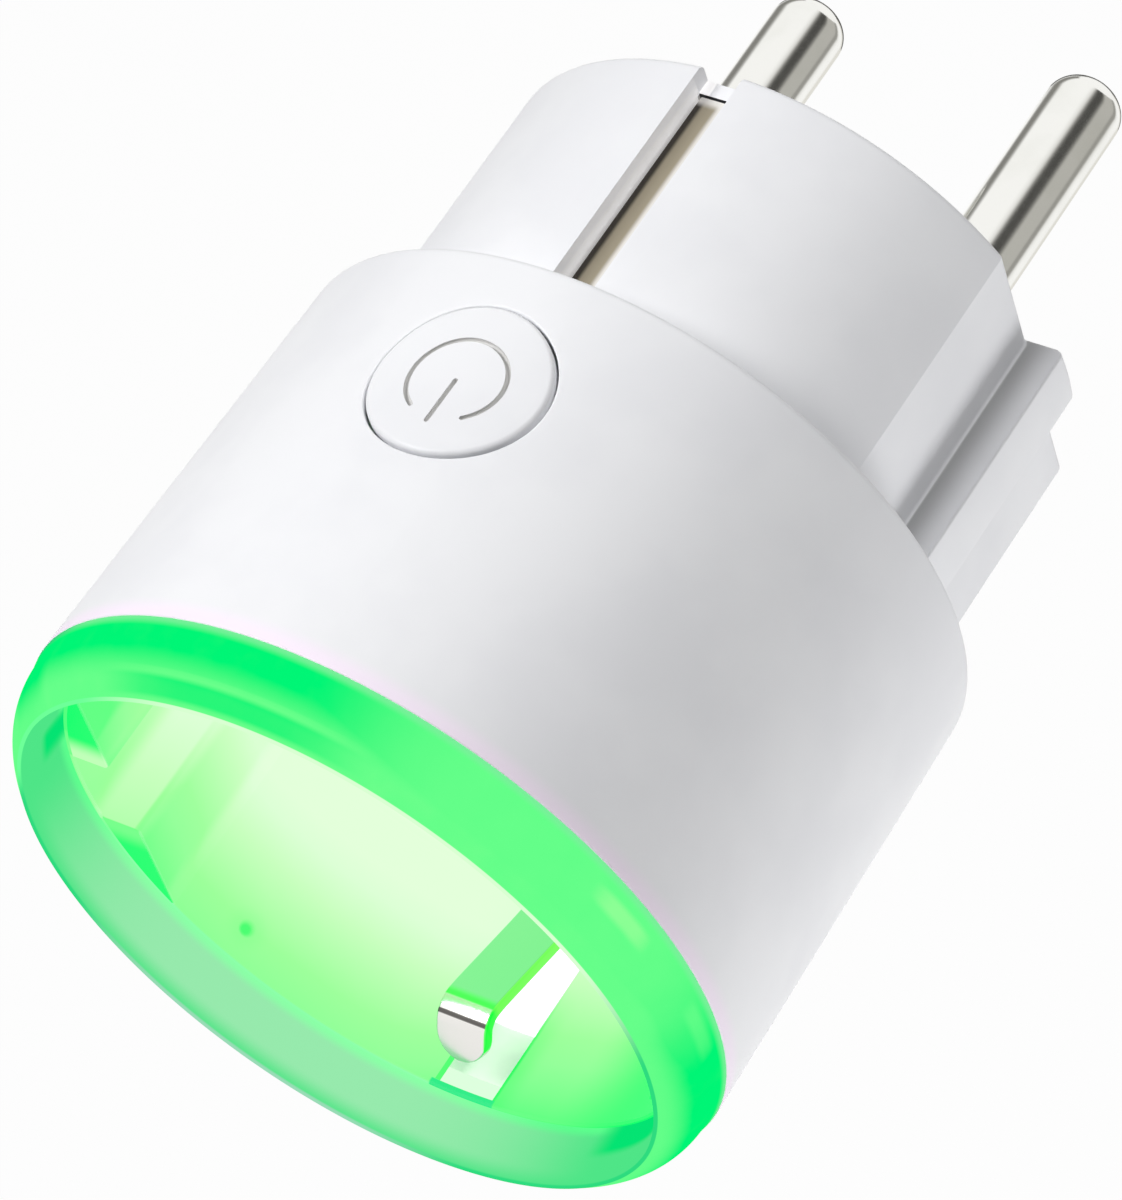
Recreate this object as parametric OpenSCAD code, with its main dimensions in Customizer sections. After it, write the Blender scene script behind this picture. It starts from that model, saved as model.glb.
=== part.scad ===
// Plug-in power meter for a round two-pin socket: a short plug, a round housing with a
// power button on top, and a recessed outlet inside a lit ring.
// The origin is the middle of the face that rests on the wall, between the two pins.
// +Y goes into the wall, -Y comes out of the room side, +Z is up and the pins lie along X.

/* [Plug] */
// Diameter of each mains pin
pin_d = 4.8; // [4:0.1:5.2]
// Distance between the two pins
pin_pitch = 19; // [18:0.1:20]
// How far the pins stand out of the plug face
pin_reach = 19.5; // [16:0.1:21]
// Rounding of the pin tips
pin_tip_round = 1.9; // [0.5:0.1:1.95]
// Diameter of the plug body
plug_d = 37.2; // [36.4:0.1:37.6]
// Length of the plug body, from its face to the housing
plug_len = 18; // [17:0.1:20]
// Distance from the axis to the guide flats on the plug body
flat_x = 16.15; // [15.8:0.05:16.6]
// Width of the rib that stays between the guide flats
rib_w = 3.7; // [3:0.1:4.6]
// Wall of the plug body
plug_wall = 1.6; // [1.2:0.1:1.8]
// Thickness of the plug face
plug_face_t = 2; // [1.6:0.1:3]
// Bevel around the plug face
plug_bevel = 0.5; // [0.2:0.1:1]

/* [Earth contacts] */
// Width of the earth slots in the plug body
slot_w = 2.8; // [2.4:0.1:3.6]
// Depth of the earth strip's face below the plug body
strip_sink = 1.5; // [1.2:0.1:1.8]
// Thickness of the earth strap
strap_t = 0.8; // [0.6:0.05:1]
// Width of the sprung part of the earth strap
clip_w = 3.3; // [2.8:0.1:3.8]

/* [Housing] */
// Length of the housing, from its shoulder to the light ring
body_len = 28; // [27.5:0.1:30]
// Wall of the housing at its rear
sleeve_wall = 0.95; // [0.8:0.05:1.3]
// How much the housing's radius grows towards the light ring
sleeve_flare = 0.62; // [0.4:0.02:1]
// Rounding of the housing's shoulder
shoulder_round = 0.5; // [0.2:0.1:0.8]
// Thickness of the housing's shoulder
shoulder_t = 1.5; // [1.2:0.1:1.8]

/* [Outlet] */
// Diameter of the round recess
recess_d = 39.5; // [39.2:0.1:40]
// Depth of the recess, from the front of the light ring
recess_depth = 17.5; // [17:0.1:18.2]
// Wall of the recess cup
cup_wall = 0.65; // [0.55:0.05:0.75]
// Thickness of the recess floor
floor_t = 1.6; // [1.4:0.1:2]
// Diameter of the two pin holes in the floor
hole_d = 5.3; // [5.1:0.1:5.6]
// Distance from the axis to the guide pads in the recess
pad_x = 17; // [16.8:0.05:17.4]
// Width of the groove between two guide pads
groove_w = 5.8; // [5.2:0.1:6.6]

/* [Light ring] */
// Length of the light ring that shows
ring_len = 4.3; // [4:0.1:5]
// Radius of the ring's round outer edge
ring_round = 4.2; // [3.9:0.1:4.4]
// Diameter of the ring's inner lip
lip_d = 40.4; // [40.3:0.05:40.6]
// How many lamps light the ring
led_count = 12; // [6:1:18]

/* [Power button] */
// Diameter of the button
button_d = 10.4; // [9:0.1:11]
// How far the button stands proud of the housing
button_rise = 0.2; // [0.1:0.05:0.6]
// How far the button can be pushed in
button_travel = 0.5; // [0.3:0.05:0.5]
// Gap around the button
button_gap = 0.15; // [0.1:0.01:0.25]
// Radius of the arc in the engraved power sign
sign_r = 2.85; // [2:0.05:3]
// Width of the engraved line
sign_line = 0.34; // [0.2:0.02:0.5]
// Depth of the engraved line
sign_depth = 0.25; // [0.1:0.05:0.4]

/* [Safety shutter] */
// Thickness of the shutter
shutter_t = 1; // [0.8:0.1:1.2]
// Running gap in front of and behind the shutter
shutter_gap = 0.3; // [0.2:0.05:0.4]
// Radius of the spindle that carries the shutter
spindle_r = 1.9; // [1.6:0.1:2.1]

/* [Electronics] */
// Thickness of the main circuit board
main_board_t = 1.2; // [1:0.1:1.6]
// Thickness of the control circuit board
control_board_t = 1; // [0.8:0.1:1.2]
// Space between the recess floor and the control board
front_bay = 5.9; // [5.8:0.1:6.4]
// Width of the relay
relay_w = 7.2; // [7:0.1:7.4]
// Length of the relay along the boards
relay_len = 20.5; // [20:0.1:21]
// Height of the relay above the main board
relay_h = 15.2; // [15:0.1:15.4]
// Radius of the two storage capacitors
bulk_r = 3; // [2.5:0.1:3.5]

/* [Hidden] */
$fn = 96;
fit_gap = 0.05;      // two parts that sit together
slip_gap = 0.1;      // a part that slides or turns in another
run_gap = 0.3;       // parts that pass each other
e = 0.01;            // overlap that keeps a cut or a union clean

// Radii, from the inside out
pin_r = pin_d / 2;
pin_x = pin_pitch / 2;
shank_r = pin_r - 0.4;                   // the pin where the plug is moulded round it
plug_r = plug_d / 2;
plug_in_r = plug_r - plug_wall;
cup_in_r = recess_d / 2;
cup_out_r = cup_in_r + cup_wall;
sleeve_in_r = cup_out_r + run_gap;
sleeve_rear_r = sleeve_in_r + sleeve_wall;
sleeve_front_r = sleeve_rear_r + sleeve_flare;
led_pocket = 0.65;                       // extra room for the lamps inside the housing
sleeve_led_r = sleeve_in_r + led_pocket;
flex_t = 0.15;
flex_out_r = sleeve_led_r - fit_gap;
flex_in_r = flex_out_r - flex_t;
lip_r = lip_d / 2;

// Places along Y
y_shoulder = -plug_len;
y_seam = y_shoulder - body_len;
y_front = y_seam - ring_len;
y_rim = y_seam - 0.2;
y_floor = y_front + recess_depth;
y_floor_back = y_floor + floor_t;
y_ctrl_front = y_floor_back + front_bay;
y_ctrl_back = y_ctrl_front + control_board_t;
mating_pin_reach = 19.5;                 // longest pin of the plug that goes in the outlet
pin_room = 1.1;                          // room past the tip of that pin
y_main_front = y_floor + mating_pin_reach + pin_room;
y_main_back = y_main_front + main_board_t;
y_face_in = -plug_face_t;
flange_t = 1.5;
y_flange_rear = y_shoulder - shoulder_t;
y_flange_front = y_flange_rear - flange_t;
y_pocket = y_seam + 5.8;                 // where the lamp pocket in the housing ends

// Screws
screw_at = [[9.5, -9.5], [-9.5, 9.5]];   // X and Z of the two screws
boss_r = 2.3;
screw_r = 1.2;
screw_head_r = 2.2;
screw_head_t = 0.9;
screw_hold_r = screw_r - 0.15;            // hole that the thread cuts into
screw_len = 8;                           // past the control board
screw_hole_len = screw_len + 2;

// Earth strap
slot_floor_z = plug_r - strip_sink - strap_t - slip_gap;
bridge_bar = 1.1;                        // width of the bars that join the two straps
relay_room = 0.75;                       // room between those bars and the relay
strap_low_z = relay_len / 2 + relay_room + bridge_bar + strap_t / 2;
slot_floor_wall = 1.2;
strap_hole_z = 15.8;                     // where the strap's hole in the floor starts
strap_slit_w = 4;                        // slot in the cup around the sprung part
strap_slit_front = 0.6;                  // wall left between that slot and the rim

// Mains pins
pin_flange_r = pin_r + 0.9;
pin_flange_t = 1.2;
pin_tail_r = 1.2;
pin_tail_out = 0.4;                      // the tail stands out of the main board
pin_to_board = 1.8;
boss_len = -y_main_back - pin_to_board - pin_flange_t;   // how far the plug body holds each pin

// Shutter, its spring and the washer that keeps them on the spindle
y_shutter = y_floor_back + shutter_gap;
spring_wire = 0.36;
spring_r = spindle_r + slip_gap + spring_wire / 2 + 0.25;
spring_rise = 0.9;
retainer_t = 0.4;
shutter_stack = shutter_gap + shutter_t + 2 * slip_gap + spring_wire + spring_rise + retainer_t;

// Button and its switch
switch_deep = 3;
switch_w = 6;
switch_h = 3.4;
button_y = y_ctrl_front - switch_deep / 2;
button_r = button_d / 2;
switch_top = sleeve_in_r - 3.1;
plunger_rise = 0.8;
plunger_r = 1;
button_foot = switch_top + plunger_rise + slip_gap;
flange_over = 0.75;                      // how far the button's rim reaches under the wall
rim_drop = 0.9;                          // underside of the rim below the housing's wall
rim_gap = 0.15;                          // play between the rim and the wall
stem_r = 1.4;
control_board_r = sleeve_in_r - 1.8;

// Pieces are turned about the Y axis, or extruded along it
module turned() rotate([-90, 0, 0]) rotate_extrude() children();
module extrude_y(y0, y1) translate([0, max(y0, y1), 0]) rotate([90, 0, 0])
    linear_extrude(abs(y1 - y0)) children();
module rod(r, y0, y1) translate([0, min(y0, y1), 0]) rotate([-90, 0, 0])
    cylinder(r = r, h = abs(y1 - y0));
module block(x, y, z) translate([x[0], y[0], z[0]]) cube([x[1] - x[0], y[1] - y[0], z[1] - z[0]]);
module at(x, z) translate([x, 0, z]) children();

// Points of an arc about [cx, cy], from angle a to angle b
function arc(cx, cy, r, a, b, n = 8) =
    [for (i = [0 : n]) let (t = a + (b - a) * i / n) [cx + r * cos(t), cy + r * sin(t)]];

module plug_outline() difference() {
    circle(r = plug_r);
    for (sx = [1, -1], sz = [1, -1]) scale([sx, sz])
        translate([flat_x, rib_w / 2]) square([plug_r, plug_r]);
}

module plug_body() color("white") difference() {
    union() {
        intersection() {
            extrude_y(y_shoulder, 0) plug_outline();
            turned() polygon([[0, 0], [plug_r - plug_bevel, 0], [plug_r, -plug_bevel],
                [plug_r, y_shoulder], [0, y_shoulder]]);
        }
        difference() {
            union() {
                rod(plug_r, y_flange_front, y_shoulder);
                rod(sleeve_in_r - fit_gap, y_flange_front, y_flange_rear);
            }
            rod(plug_in_r, y_flange_front - 1, y_shoulder);
        }
        plug_bosses(y_shoulder);
    }
    difference() {
        intersection() {
            rod(plug_in_r, y_shoulder - e, y_face_in);
            block([plug_wall - flat_x, flat_x - plug_wall], [y_shoulder - 1, 0], [-plug_r, plug_r]);
        }
        for (s = [1, -1]) block([-slot_w / 2 - slot_floor_wall, slot_w / 2 + slot_floor_wall],
            [y_shoulder - 1, 0], s > 0 ? [slot_floor_z - slot_floor_wall, plug_r]
            : [-plug_r, slot_floor_wall - slot_floor_z]);
        plug_bosses(y_shoulder - 1);
    }
    for (s = [1, -1]) scale([1, 1, s]) {
        block([-slot_w / 2, slot_w / 2], [y_flange_front - 1, 1], [slot_floor_z, sleeve_in_r]);
        slot_mouth();
    }
    for (s = [1, -1]) at(s * pin_x, 0) rod(shank_r + fit_gap, -boss_len - 1, 1);
    for (p = screw_at) at(p[0], p[1]) rod(screw_hold_r, y_ctrl_back - 1, y_ctrl_back + screw_hole_len);
    translate([0, button_y, sleeve_in_r - rim_drop - button_travel - run_gap])
        cylinder(r = button_r + flange_over + run_gap, h = plug_r);
}
// Flared end of an earth slot
module slot_mouth() {
    flare = 0.7;
    translate([0, 0, slot_floor_z]) linear_extrude(plug_r - slot_floor_z + 1)
        polygon([[-slot_w / 2 - flare, e], [slot_w / 2 + flare, e], [slot_w / 2, -flare],
            [-slot_w / 2, -flare]]);
}
// Pillars inside the plug body for the pins, the screws and the main board
module plug_bosses(y_limit) {
    for (s = [1, -1]) at(s * pin_x, 0) rod(pin_r + plug_wall, max(y_limit, -boss_len), y_face_in + e);
    for (p = screw_at) at(p[0], p[1]) rod(boss_r, y_ctrl_back, y_face_in + e);
    for (sx = [1, -1], sz = [1, -1]) at(sx * 5.8, sz * 12.6) rod(1.2, y_main_back, y_face_in + e);
}

module mains_pin() color("silver") {
    turned() polygon(concat([[0, -boss_len], [shank_r, -boss_len], [shank_r, 0], [pin_r, 0]],
        arc(pin_r - pin_tip_round, pin_reach - pin_tip_round, pin_tip_round, 0, 90, 10),
        [[0, pin_reach]]));
    rod(pin_flange_r, -boss_len - pin_flange_t, -boss_len);
    rod(pin_tail_r, y_main_front - pin_tail_out, -boss_len - pin_flange_t);
}
module line_pin() at(pin_x, 0) mains_pin();
module neutral_pin() at(-pin_x, 0) mains_pin();

module housing_sleeve() color("white") difference() {
    turned() polygon(concat([[plug_r + fit_gap, y_shoulder]],
        arc(sleeve_rear_r - shoulder_round, y_shoulder - shoulder_round, shoulder_round, 90, 0, 5),
        [[sleeve_front_r, y_seam], [sleeve_led_r, y_seam], [sleeve_led_r, y_pocket],
        [sleeve_in_r, y_pocket], [sleeve_in_r, y_flange_rear], [plug_r + fit_gap, y_flange_rear]]));
    translate([0, button_y, 0]) cylinder(r = button_r + button_gap, h = sleeve_front_r + 1);
}

module socket_cup() color("honeydew") difference() {
    union() {
        turned() polygon([[0, y_floor_back], [cup_out_r, y_floor_back], [cup_out_r, y_rim],
            [cup_in_r, y_rim], [cup_in_r, y_floor], [0, y_floor]]);
        intersection() {
            rod(cup_in_r + cup_wall / 2, y_rim, y_floor + e);
            for (sx = [1, -1], sz = [1, -1]) scale([sx, 1, sz])
                block([pad_x, cup_out_r], [y_rim - 1, y_floor + 1], [groove_w / 2, cup_out_r]);
        }
        for (p = screw_at) at(p[0], p[1]) rod(boss_r, y_floor_back - e, y_ctrl_front);
        rod(spindle_r, y_floor_back - e, y_floor_back + shutter_stack);
        for (i = [0 : 5]) rotate([0, 60 * i + 50, 0])
            block([cup_out_r - 0.2, sleeve_in_r - fit_gap], [y_pocket + 1, y_floor_back], [-0.6, 0.6]);
    }
    for (s = [1, -1]) at(s * pin_x, 0) rod(hole_d / 2, y_floor - 1, y_floor_back + 1);
    for (p = screw_at) at(p[0], p[1]) {
        rod(screw_r + slip_gap, y_floor - 1, y_ctrl_front + 1);
        rod(screw_head_r + slip_gap, y_floor - 1, y_floor + screw_head_t);
    }
    for (s = [1, -1]) scale([1, 1, s])
        block([-strap_slit_w / 2, strap_slit_w / 2], [y_rim + strap_slit_front, y_floor_back + 1],
            [strap_hole_z, cup_out_r + 1]);
    for (i = [0 : 3]) rotate([0, 90 * i + 43.5, 0])
        translate([cup_in_r - 1, y_rim + 2, 0]) rotate([0, 90, 0]) cylinder(r = 0.55, h = 1.3);
}

module light_ring() {
    centre_r = sleeve_front_r - 0.19 - ring_round;
    lip_out = lip_r + 0.16;
    centre_y = y_front + sqrt(pow(ring_round, 2) - pow(lip_out - centre_r, 2));
    lip_angle = acos((lip_out - centre_r) / ring_round);
    tongue = 1.55;
    color("limegreen") turned() polygon(concat(
        [[cup_out_r + slip_gap, y_seam], [cup_out_r + slip_gap, y_seam + tongue],
        [flex_out_r - fit_gap, y_seam + tongue], [flex_out_r - fit_gap, y_seam],
        [sleeve_front_r - 0.03, y_seam]],
        arc(centre_r, centre_y, ring_round, 0, -lip_angle, 14),
        [[lip_r, y_front + 0.1], [lip_r - 0.03, y_front + 0.37], [cup_in_r + 0.25, y_front + 1.8],
        [cup_in_r + 0.2, y_rim], [cup_out_r + slip_gap, y_rim]]));
}

// The space inside the housing's outer surface, moved out by grow
module inside_sleeve(grow) turned() polygon([[0, y_shoulder], [sleeve_rear_r + grow, y_shoulder],
    [sleeve_front_r + grow, y_seam], [0, y_seam]]);

module power_button() color("white") difference() {
    union() {
        intersection() {
            difference() {
                inside_sleeve(button_rise);
                rod(sleeve_in_r - rim_drop, y_seam, 0);
            }
            translate([0, button_y, 0]) cylinder(r = button_r, h = sleeve_front_r + 1);
        }
        intersection() {
            difference() {
                rod(sleeve_in_r - rim_gap, y_floor_back + run_gap, y_flange_rear - run_gap);
                rod(sleeve_in_r - rim_drop, y_seam, 1);
            }
            translate([0, button_y, 0]) cylinder(r = button_r + flange_over, h = sleeve_front_r);
        }
        translate([0, button_y, button_foot]) cylinder(r = stem_r, h = sleeve_in_r - rim_drop + run_gap - button_foot);
    }
    rod(cup_out_r + button_travel + run_gap - fit_gap, y_seam, y_floor_back + run_gap);
    difference() {
        translate([0, button_y, sleeve_in_r]) linear_extrude(4) power_sign();
        inside_sleeve(button_rise - sign_depth);
    }
}
// Open ring and bar, with the opening towards the outlet
module power_sign() {
    half_gap = 35;
    sign_over = 0.25;
    difference() {
        circle(r = sign_r + sign_line / 2);
        circle(r = sign_r - sign_line / 2);
        polygon([[0, 0], 5 * [-sin(half_gap), -cos(half_gap)], 5 * [sin(half_gap), -cos(half_gap)]]);
    }
    translate([-sign_line / 2, -sign_r - sign_over]) square([sign_line, sign_r + sign_over]);
}

bridge_t = 0.6;
bridge_y = y_ctrl_back + run_gap;
bridge_post = 1.6;
bridge_x = -relay_w / 2 - run_gap - bridge_post;
jog_y = bridge_y + bridge_t + slip_gap;
jog_len = 2.1;                           // the strap rises from the bridge to the plug's slot
// The strap is one bent strip, drawn as its side view: first number Y, second number Z
clip_crest_z = 15.3;
strip_z = plug_r - strip_sink - strap_t / 2;
clip_root_z = strap_hole_z + 1.6;
strap_path = [
    [y_seam + 1.1, clip_crest_z + 2.5], [y_seam + 2.3, clip_crest_z + 0.2],
    [y_seam + 3.1, clip_crest_z - 0.15], [y_seam + 4, clip_crest_z],
    [y_floor - 2.7, clip_root_z - 0.45], [y_floor, clip_root_z],
    [y_floor_back + 0.4, clip_root_z], [y_floor_back + 0.9, strap_low_z + 0.5],
    [y_floor_back + 1.6, strap_low_z], [jog_y, strap_low_z],
    [jog_y + 0.8, strap_low_z + 0.6], [jog_y + jog_len - 0.7, strip_z - 0.6],
    [jog_y + jog_len, strip_z], [-1, strip_z]];
// Unit normals of a path, and the outline of a strip around it
function unit(v) = v / norm(v);
function side(v) = [-v[1], v[0]];
function corner(p, i) = let (
    n0 = side(unit(p[max(i, 1)] - p[max(i, 1) - 1])),
    n1 = side(unit(p[min(i + 1, len(p) - 1)] - p[min(i + 1, len(p) - 1) - 1])),
    m = unit(n0 + n1)) m / max(0.5, m * n0);
function strip_outline(p, t) = concat(
    [for (i = [0 : len(p) - 1]) p[i] + corner(p, i) * t / 2],
    [for (i = [len(p) - 1 : -1 : 0]) p[i] - corner(p, i) * t / 2]);

// A flat shape drawn in Y and Z, made w wide along X
module extrude_x(w) rotate([90, 0, 90]) translate([0, 0, -w / 2]) linear_extrude(w) children();

module earth_strap() color("silver") intersection() {
    extrude_x(clip_w) polygon(strip_outline(strap_path, strap_t));
    // Plan view: half round tip, full width in front, narrower in the plug's slot
    translate([0, 0, 10]) linear_extrude(12) union() {
        translate([0, y_seam + 1.1 + clip_w / 2 - 0.35]) circle(d = clip_w);
        translate([-clip_w / 2, y_seam + 1.1 + clip_w / 2 - 0.35])
            square([clip_w, jog_y + 1.55 - y_seam - 1.1 - clip_w / 2 + 0.35]);
        translate([-slot_w / 2 + slip_gap, jog_y - 0.7])
            square([slot_w - 2 * slip_gap, plug_len + 8]);
    }
}
module upper_earth_strap() earth_strap();
module lower_earth_strap() scale([1, 1, -1]) earth_strap();

module earth_bridge() color("silver") {
    inner = strap_low_z - strap_t / 2;
    extrude_y(bridge_y, bridge_y + bridge_t) difference() {
        translate([bridge_x, -inner]) square([bridge_post + 0.4 - bridge_x / 2, 2 * inner]);
        translate([bridge_x + bridge_post, -inner + bridge_bar]) square([20, 2 * (inner - bridge_bar)]);
    }
}

module safety_shutter() color("gainsboro") difference() {
    lobe_r = hole_d / 2 + 0.3;
    union() {
        rod(3.6, y_shutter, y_shutter + shutter_t);
        for (a = [0, 180]) rotate([0, a, 0]) {
            at(pin_x, 0) rod(lobe_r, y_shutter, y_shutter + shutter_t);
            block([0, pin_x], [y_shutter, y_shutter + shutter_t], [-2.1, 2.1]);
        }
    }
    rod(spindle_r + slip_gap, y_shutter - 1, y_shutter + shutter_t + 1);
    // The pin that comes in pushes on this slope and turns the shutter
    for (a = [0, 180]) rotate([0, a, 0]) translate([pin_x, y_shutter, -lobe_r])
        rotate([45, 0, 0]) cube([2.4, 1.1, 1.1], center = true);
}

// A round wire wound about the Y axis
module shutter_spring() color("silver") {
    turns = 2.5;
    rings = 60;
    sides = 6;
    y0 = y_shutter + shutter_t + slip_gap + spring_wire / 2;
    points = [for (i = [0 : rings]) let (a = 360 * turns * i / rings)
        for (k = [0 : sides - 1]) let (b = 360 * k / sides,
            r = spring_r + spring_wire / 2 * cos(b))
            [r * cos(a), y0 + spring_rise * i / rings + spring_wire / 2 * sin(b), r * sin(a)]];
    faces = concat(
        [for (i = [0 : rings - 1], k = [0 : sides - 1]) let (n = (k + 1) % sides)
            [i * sides + k, i * sides + n, (i + 1) * sides + n]],
        [for (i = [0 : rings - 1], k = [0 : sides - 1]) let (n = (k + 1) % sides)
            [i * sides + k, (i + 1) * sides + n, (i + 1) * sides + k]],
        [[for (k = [sides - 1 : -1 : 0]) k]], [[for (k = [0 : sides - 1]) rings * sides + k]]);
    polyhedron(points, faces);
}
module shutter_retainer() color("silver") difference() {
    top = y_floor_back + shutter_stack;
    rod(spindle_r + 1.1, top - retainer_t, top);
    rod(spindle_r + fit_gap, top - 1, top + 1);
}

module outlet_contact() color("goldenrod") {
    grip_r = pin_r + slip_gap;
    wall = 0.6;
    y0 = y_shutter + shutter_t + 0.6;
    y1 = y_main_front - 2.8;
    difference() {
        rod(grip_r + wall, y0, y1);
        rod(grip_r, y0 - 1, y1 + 1);
        turned() polygon([[0, y0 - e], [grip_r + 0.45, y0 - e], [grip_r, y0 + 0.9], [0, y0 + 0.9]]);
        block([-0.4, 0.4], [y0 - 1, y1 - 2.2], [-5, 5]);
    }
    intersection() {
        difference() {
            rod(grip_r + wall, y1 - e, y_main_front);
            rod(grip_r, y1 - 1, y_main_front + 1);
        }
        block([0, 5], [y1 - 1, y_main_front + 1], [-1.2, 1.2]);
    }
}
module line_contact() at(pin_x, 0) outlet_contact();
module neutral_contact() at(-pin_x, 0) scale([-1, 1, 1]) outlet_contact();

module main_board() color("darkgreen") difference() {
    extrude_y(y_main_front, y_main_back) intersection() {
        circle(r = plug_in_r - 0.6);
        square([2 * (flat_x - plug_wall - run_gap), 2 * (slot_floor_z - slot_floor_wall - run_gap)],
            center = true);
    }
    for (s = [1, -1]) at(s * pin_x, 0) rod(pin_tail_r + slip_gap, y_main_front - 1, y_main_back + 1);
    for (p = screw_at) at(p[0], p[1]) rod(boss_r + 0.2, y_main_front - 1, y_main_back + 1);
    for (p = terminal_at) at(p[0], p[1]) rod(0.5, y_main_front - 1, y_main_back + 1);
    for (z = header_z) at(header_x, z) rod(0.45, y_main_front - 1, y_main_back + 1);
}

module control_board() color("darkgreen") difference() {
    extrude_y(y_ctrl_front, y_ctrl_back) difference() {
        circle(r = control_board_r);
        square([relay_w + 2 * run_gap, relay_len + 2 * run_gap], center = true);
        square([clip_w + 2 * run_gap, 2 * (strap_low_z + strap_t)], center = true);
        for (s = [1, -1]) translate([s * pin_x, 0]) circle(r = pin_r + slip_gap + 0.6 + run_gap);
    }
    for (p = screw_at) at(p[0], p[1]) rod(screw_r + slip_gap, y_ctrl_front - 1, y_ctrl_back + 1);
    for (z = header_z) at(header_x, z) rod(0.45, y_ctrl_front - 1, y_ctrl_back + 1);
}

// Relay: the coil lies along Z, the armature closes the far end of it
relay_base_t = 2;
relay_wall = 0.5;
y_relay_base = y_main_front - relay_base_t;
y_relay_top = y_main_front - relay_h;
coil_flange_r = 2.85;
coil_y = y_relay_base - 0.3 - coil_flange_r;
coil_z0 = -relay_len / 2 + relay_wall + 0.75;
coil_z1 = coil_z0 + 10.6;
core_r = 1;
pole_r = 1.8;
pole_z = coil_z1 + 0.7;
yoke_t = 0.7;
yoke_y = coil_y - coil_flange_r - 0.1 - yoke_t;
armature_gap = 0.4;
armature_t = 0.7;
armature_z = pole_z + armature_gap;
hinge_y = yoke_y + 0.1;
spring_tip_y = y_relay_top + relay_wall + 0.6;
contact_gap = 0.4;
contact_r = 0.9;
contact_y = spring_tip_y + contact_r + slip_gap;
rivet_t = 0.5;
leaf_w = 2.4;
leaf_t = 0.2;
fixed_rivet_t = 0.4;
fixed_t = 0.6;
iron_w = 4.4;                            // width of the yoke and of the armature
iron_low = 1.9;                          // how far both reach past the coil's axis
bobbin_t = 0.6;                          // flanges of the bobbin
bobbin_r = core_r + 0.5;
terminal_at = [[-2.4, -8], [2.4, -8], [2.4, 5.2], [-2.4, 8.6]];
module upright(r, y, z0, z1) translate([0, y, z0]) cylinder(r = r, h = z1 - z0);

module relay_base() color("steelblue")
    block([-relay_w / 2, relay_w / 2], [y_relay_base, y_main_front], [-relay_len / 2, relay_len / 2]);
module relay_cover() color("deepskyblue") difference() {
    block([-relay_w / 2, relay_w / 2], [y_relay_top, y_relay_base], [-relay_len / 2, relay_len / 2]);
    block([relay_wall - relay_w / 2, relay_w / 2 - relay_wall], [y_relay_top + relay_wall, 0],
        [relay_wall - relay_len / 2, relay_len / 2 - relay_wall]);
}
module relay_bobbin() color("white") difference() {
    union() {
        upright(bobbin_r, coil_y, coil_z0, coil_z1);
        upright(coil_flange_r, coil_y, coil_z0, coil_z0 + bobbin_t);
        upright(coil_flange_r, coil_y, coil_z1 - bobbin_t, coil_z1);
    }
    upright(core_r + fit_gap, coil_y, coil_z0 - 1, coil_z1 + 1);
}
module relay_winding() color("chocolate") difference() {
    upright(coil_flange_r - 0.25, coil_y, coil_z0 + bobbin_t, coil_z1 - bobbin_t);
    upright(bobbin_r + e, coil_y, coil_z0, coil_z1);
}
module relay_core() color("gray") {
    upright(core_r, coil_y, coil_z0 - yoke_t, coil_z1 + slip_gap);
    upright(pole_r, coil_y, coil_z1 + slip_gap, pole_z);
}
module relay_yoke() color("gray") difference() {
    union() {
        block([-iron_w / 2, iron_w / 2], [yoke_y, yoke_y + yoke_t], [coil_z0 - yoke_t, armature_z - slip_gap]);
        block([-iron_w / 2, iron_w / 2], [yoke_y, coil_y + iron_low], [coil_z0 - yoke_t, coil_z0 - fit_gap]);
    }
    upright(core_r + fit_gap, coil_y, coil_z0 - 2, coil_z0 + 1);
}
module relay_armature() color("dimgray")
    block([-iron_w / 2, iron_w / 2], [hinge_y - slip_gap, coil_y + iron_low], [armature_z, armature_z + armature_t]);
module relay_moving_contact() color("goldenrod") {
    z = armature_z + armature_t;
    block([-leaf_w / 2, leaf_w / 2], [spring_tip_y, coil_y + 0.5], [z, z + leaf_t]);
    upright(contact_r, contact_y, z + leaf_t, z + leaf_t + rivet_t);
}
module relay_fixed_contact() color("goldenrod") {
    z = armature_z + armature_t + leaf_t + rivet_t + contact_gap;
    upright(contact_r, contact_y, z, z + fixed_rivet_t);
    block([-leaf_w / 2, leaf_w / 2], [spring_tip_y, y_relay_base],
        [z + fixed_rivet_t, z + fixed_rivet_t + fixed_t]);
}
module relay_terminals() color("silver")
    for (p = terminal_at) at(p[0], p[1]) rod(0.4, y_main_front, y_main_back + solder_out);

// Push switch behind the button
plunger_sink = 1;
module switch_body() color("dimgray") difference() {
    block([-switch_w / 2, switch_w / 2], [y_ctrl_front - switch_deep, y_ctrl_front],
        [switch_top - switch_h, switch_top]);
    translate([0, button_y, switch_top - plunger_sink - button_travel - 0.2])
        cylinder(r = plunger_r + slip_gap, h = 5);
}
module switch_plunger() color("black")
    translate([0, button_y, switch_top - plunger_sink])
        cylinder(r = plunger_r, h = plunger_sink + plunger_rise);

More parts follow.
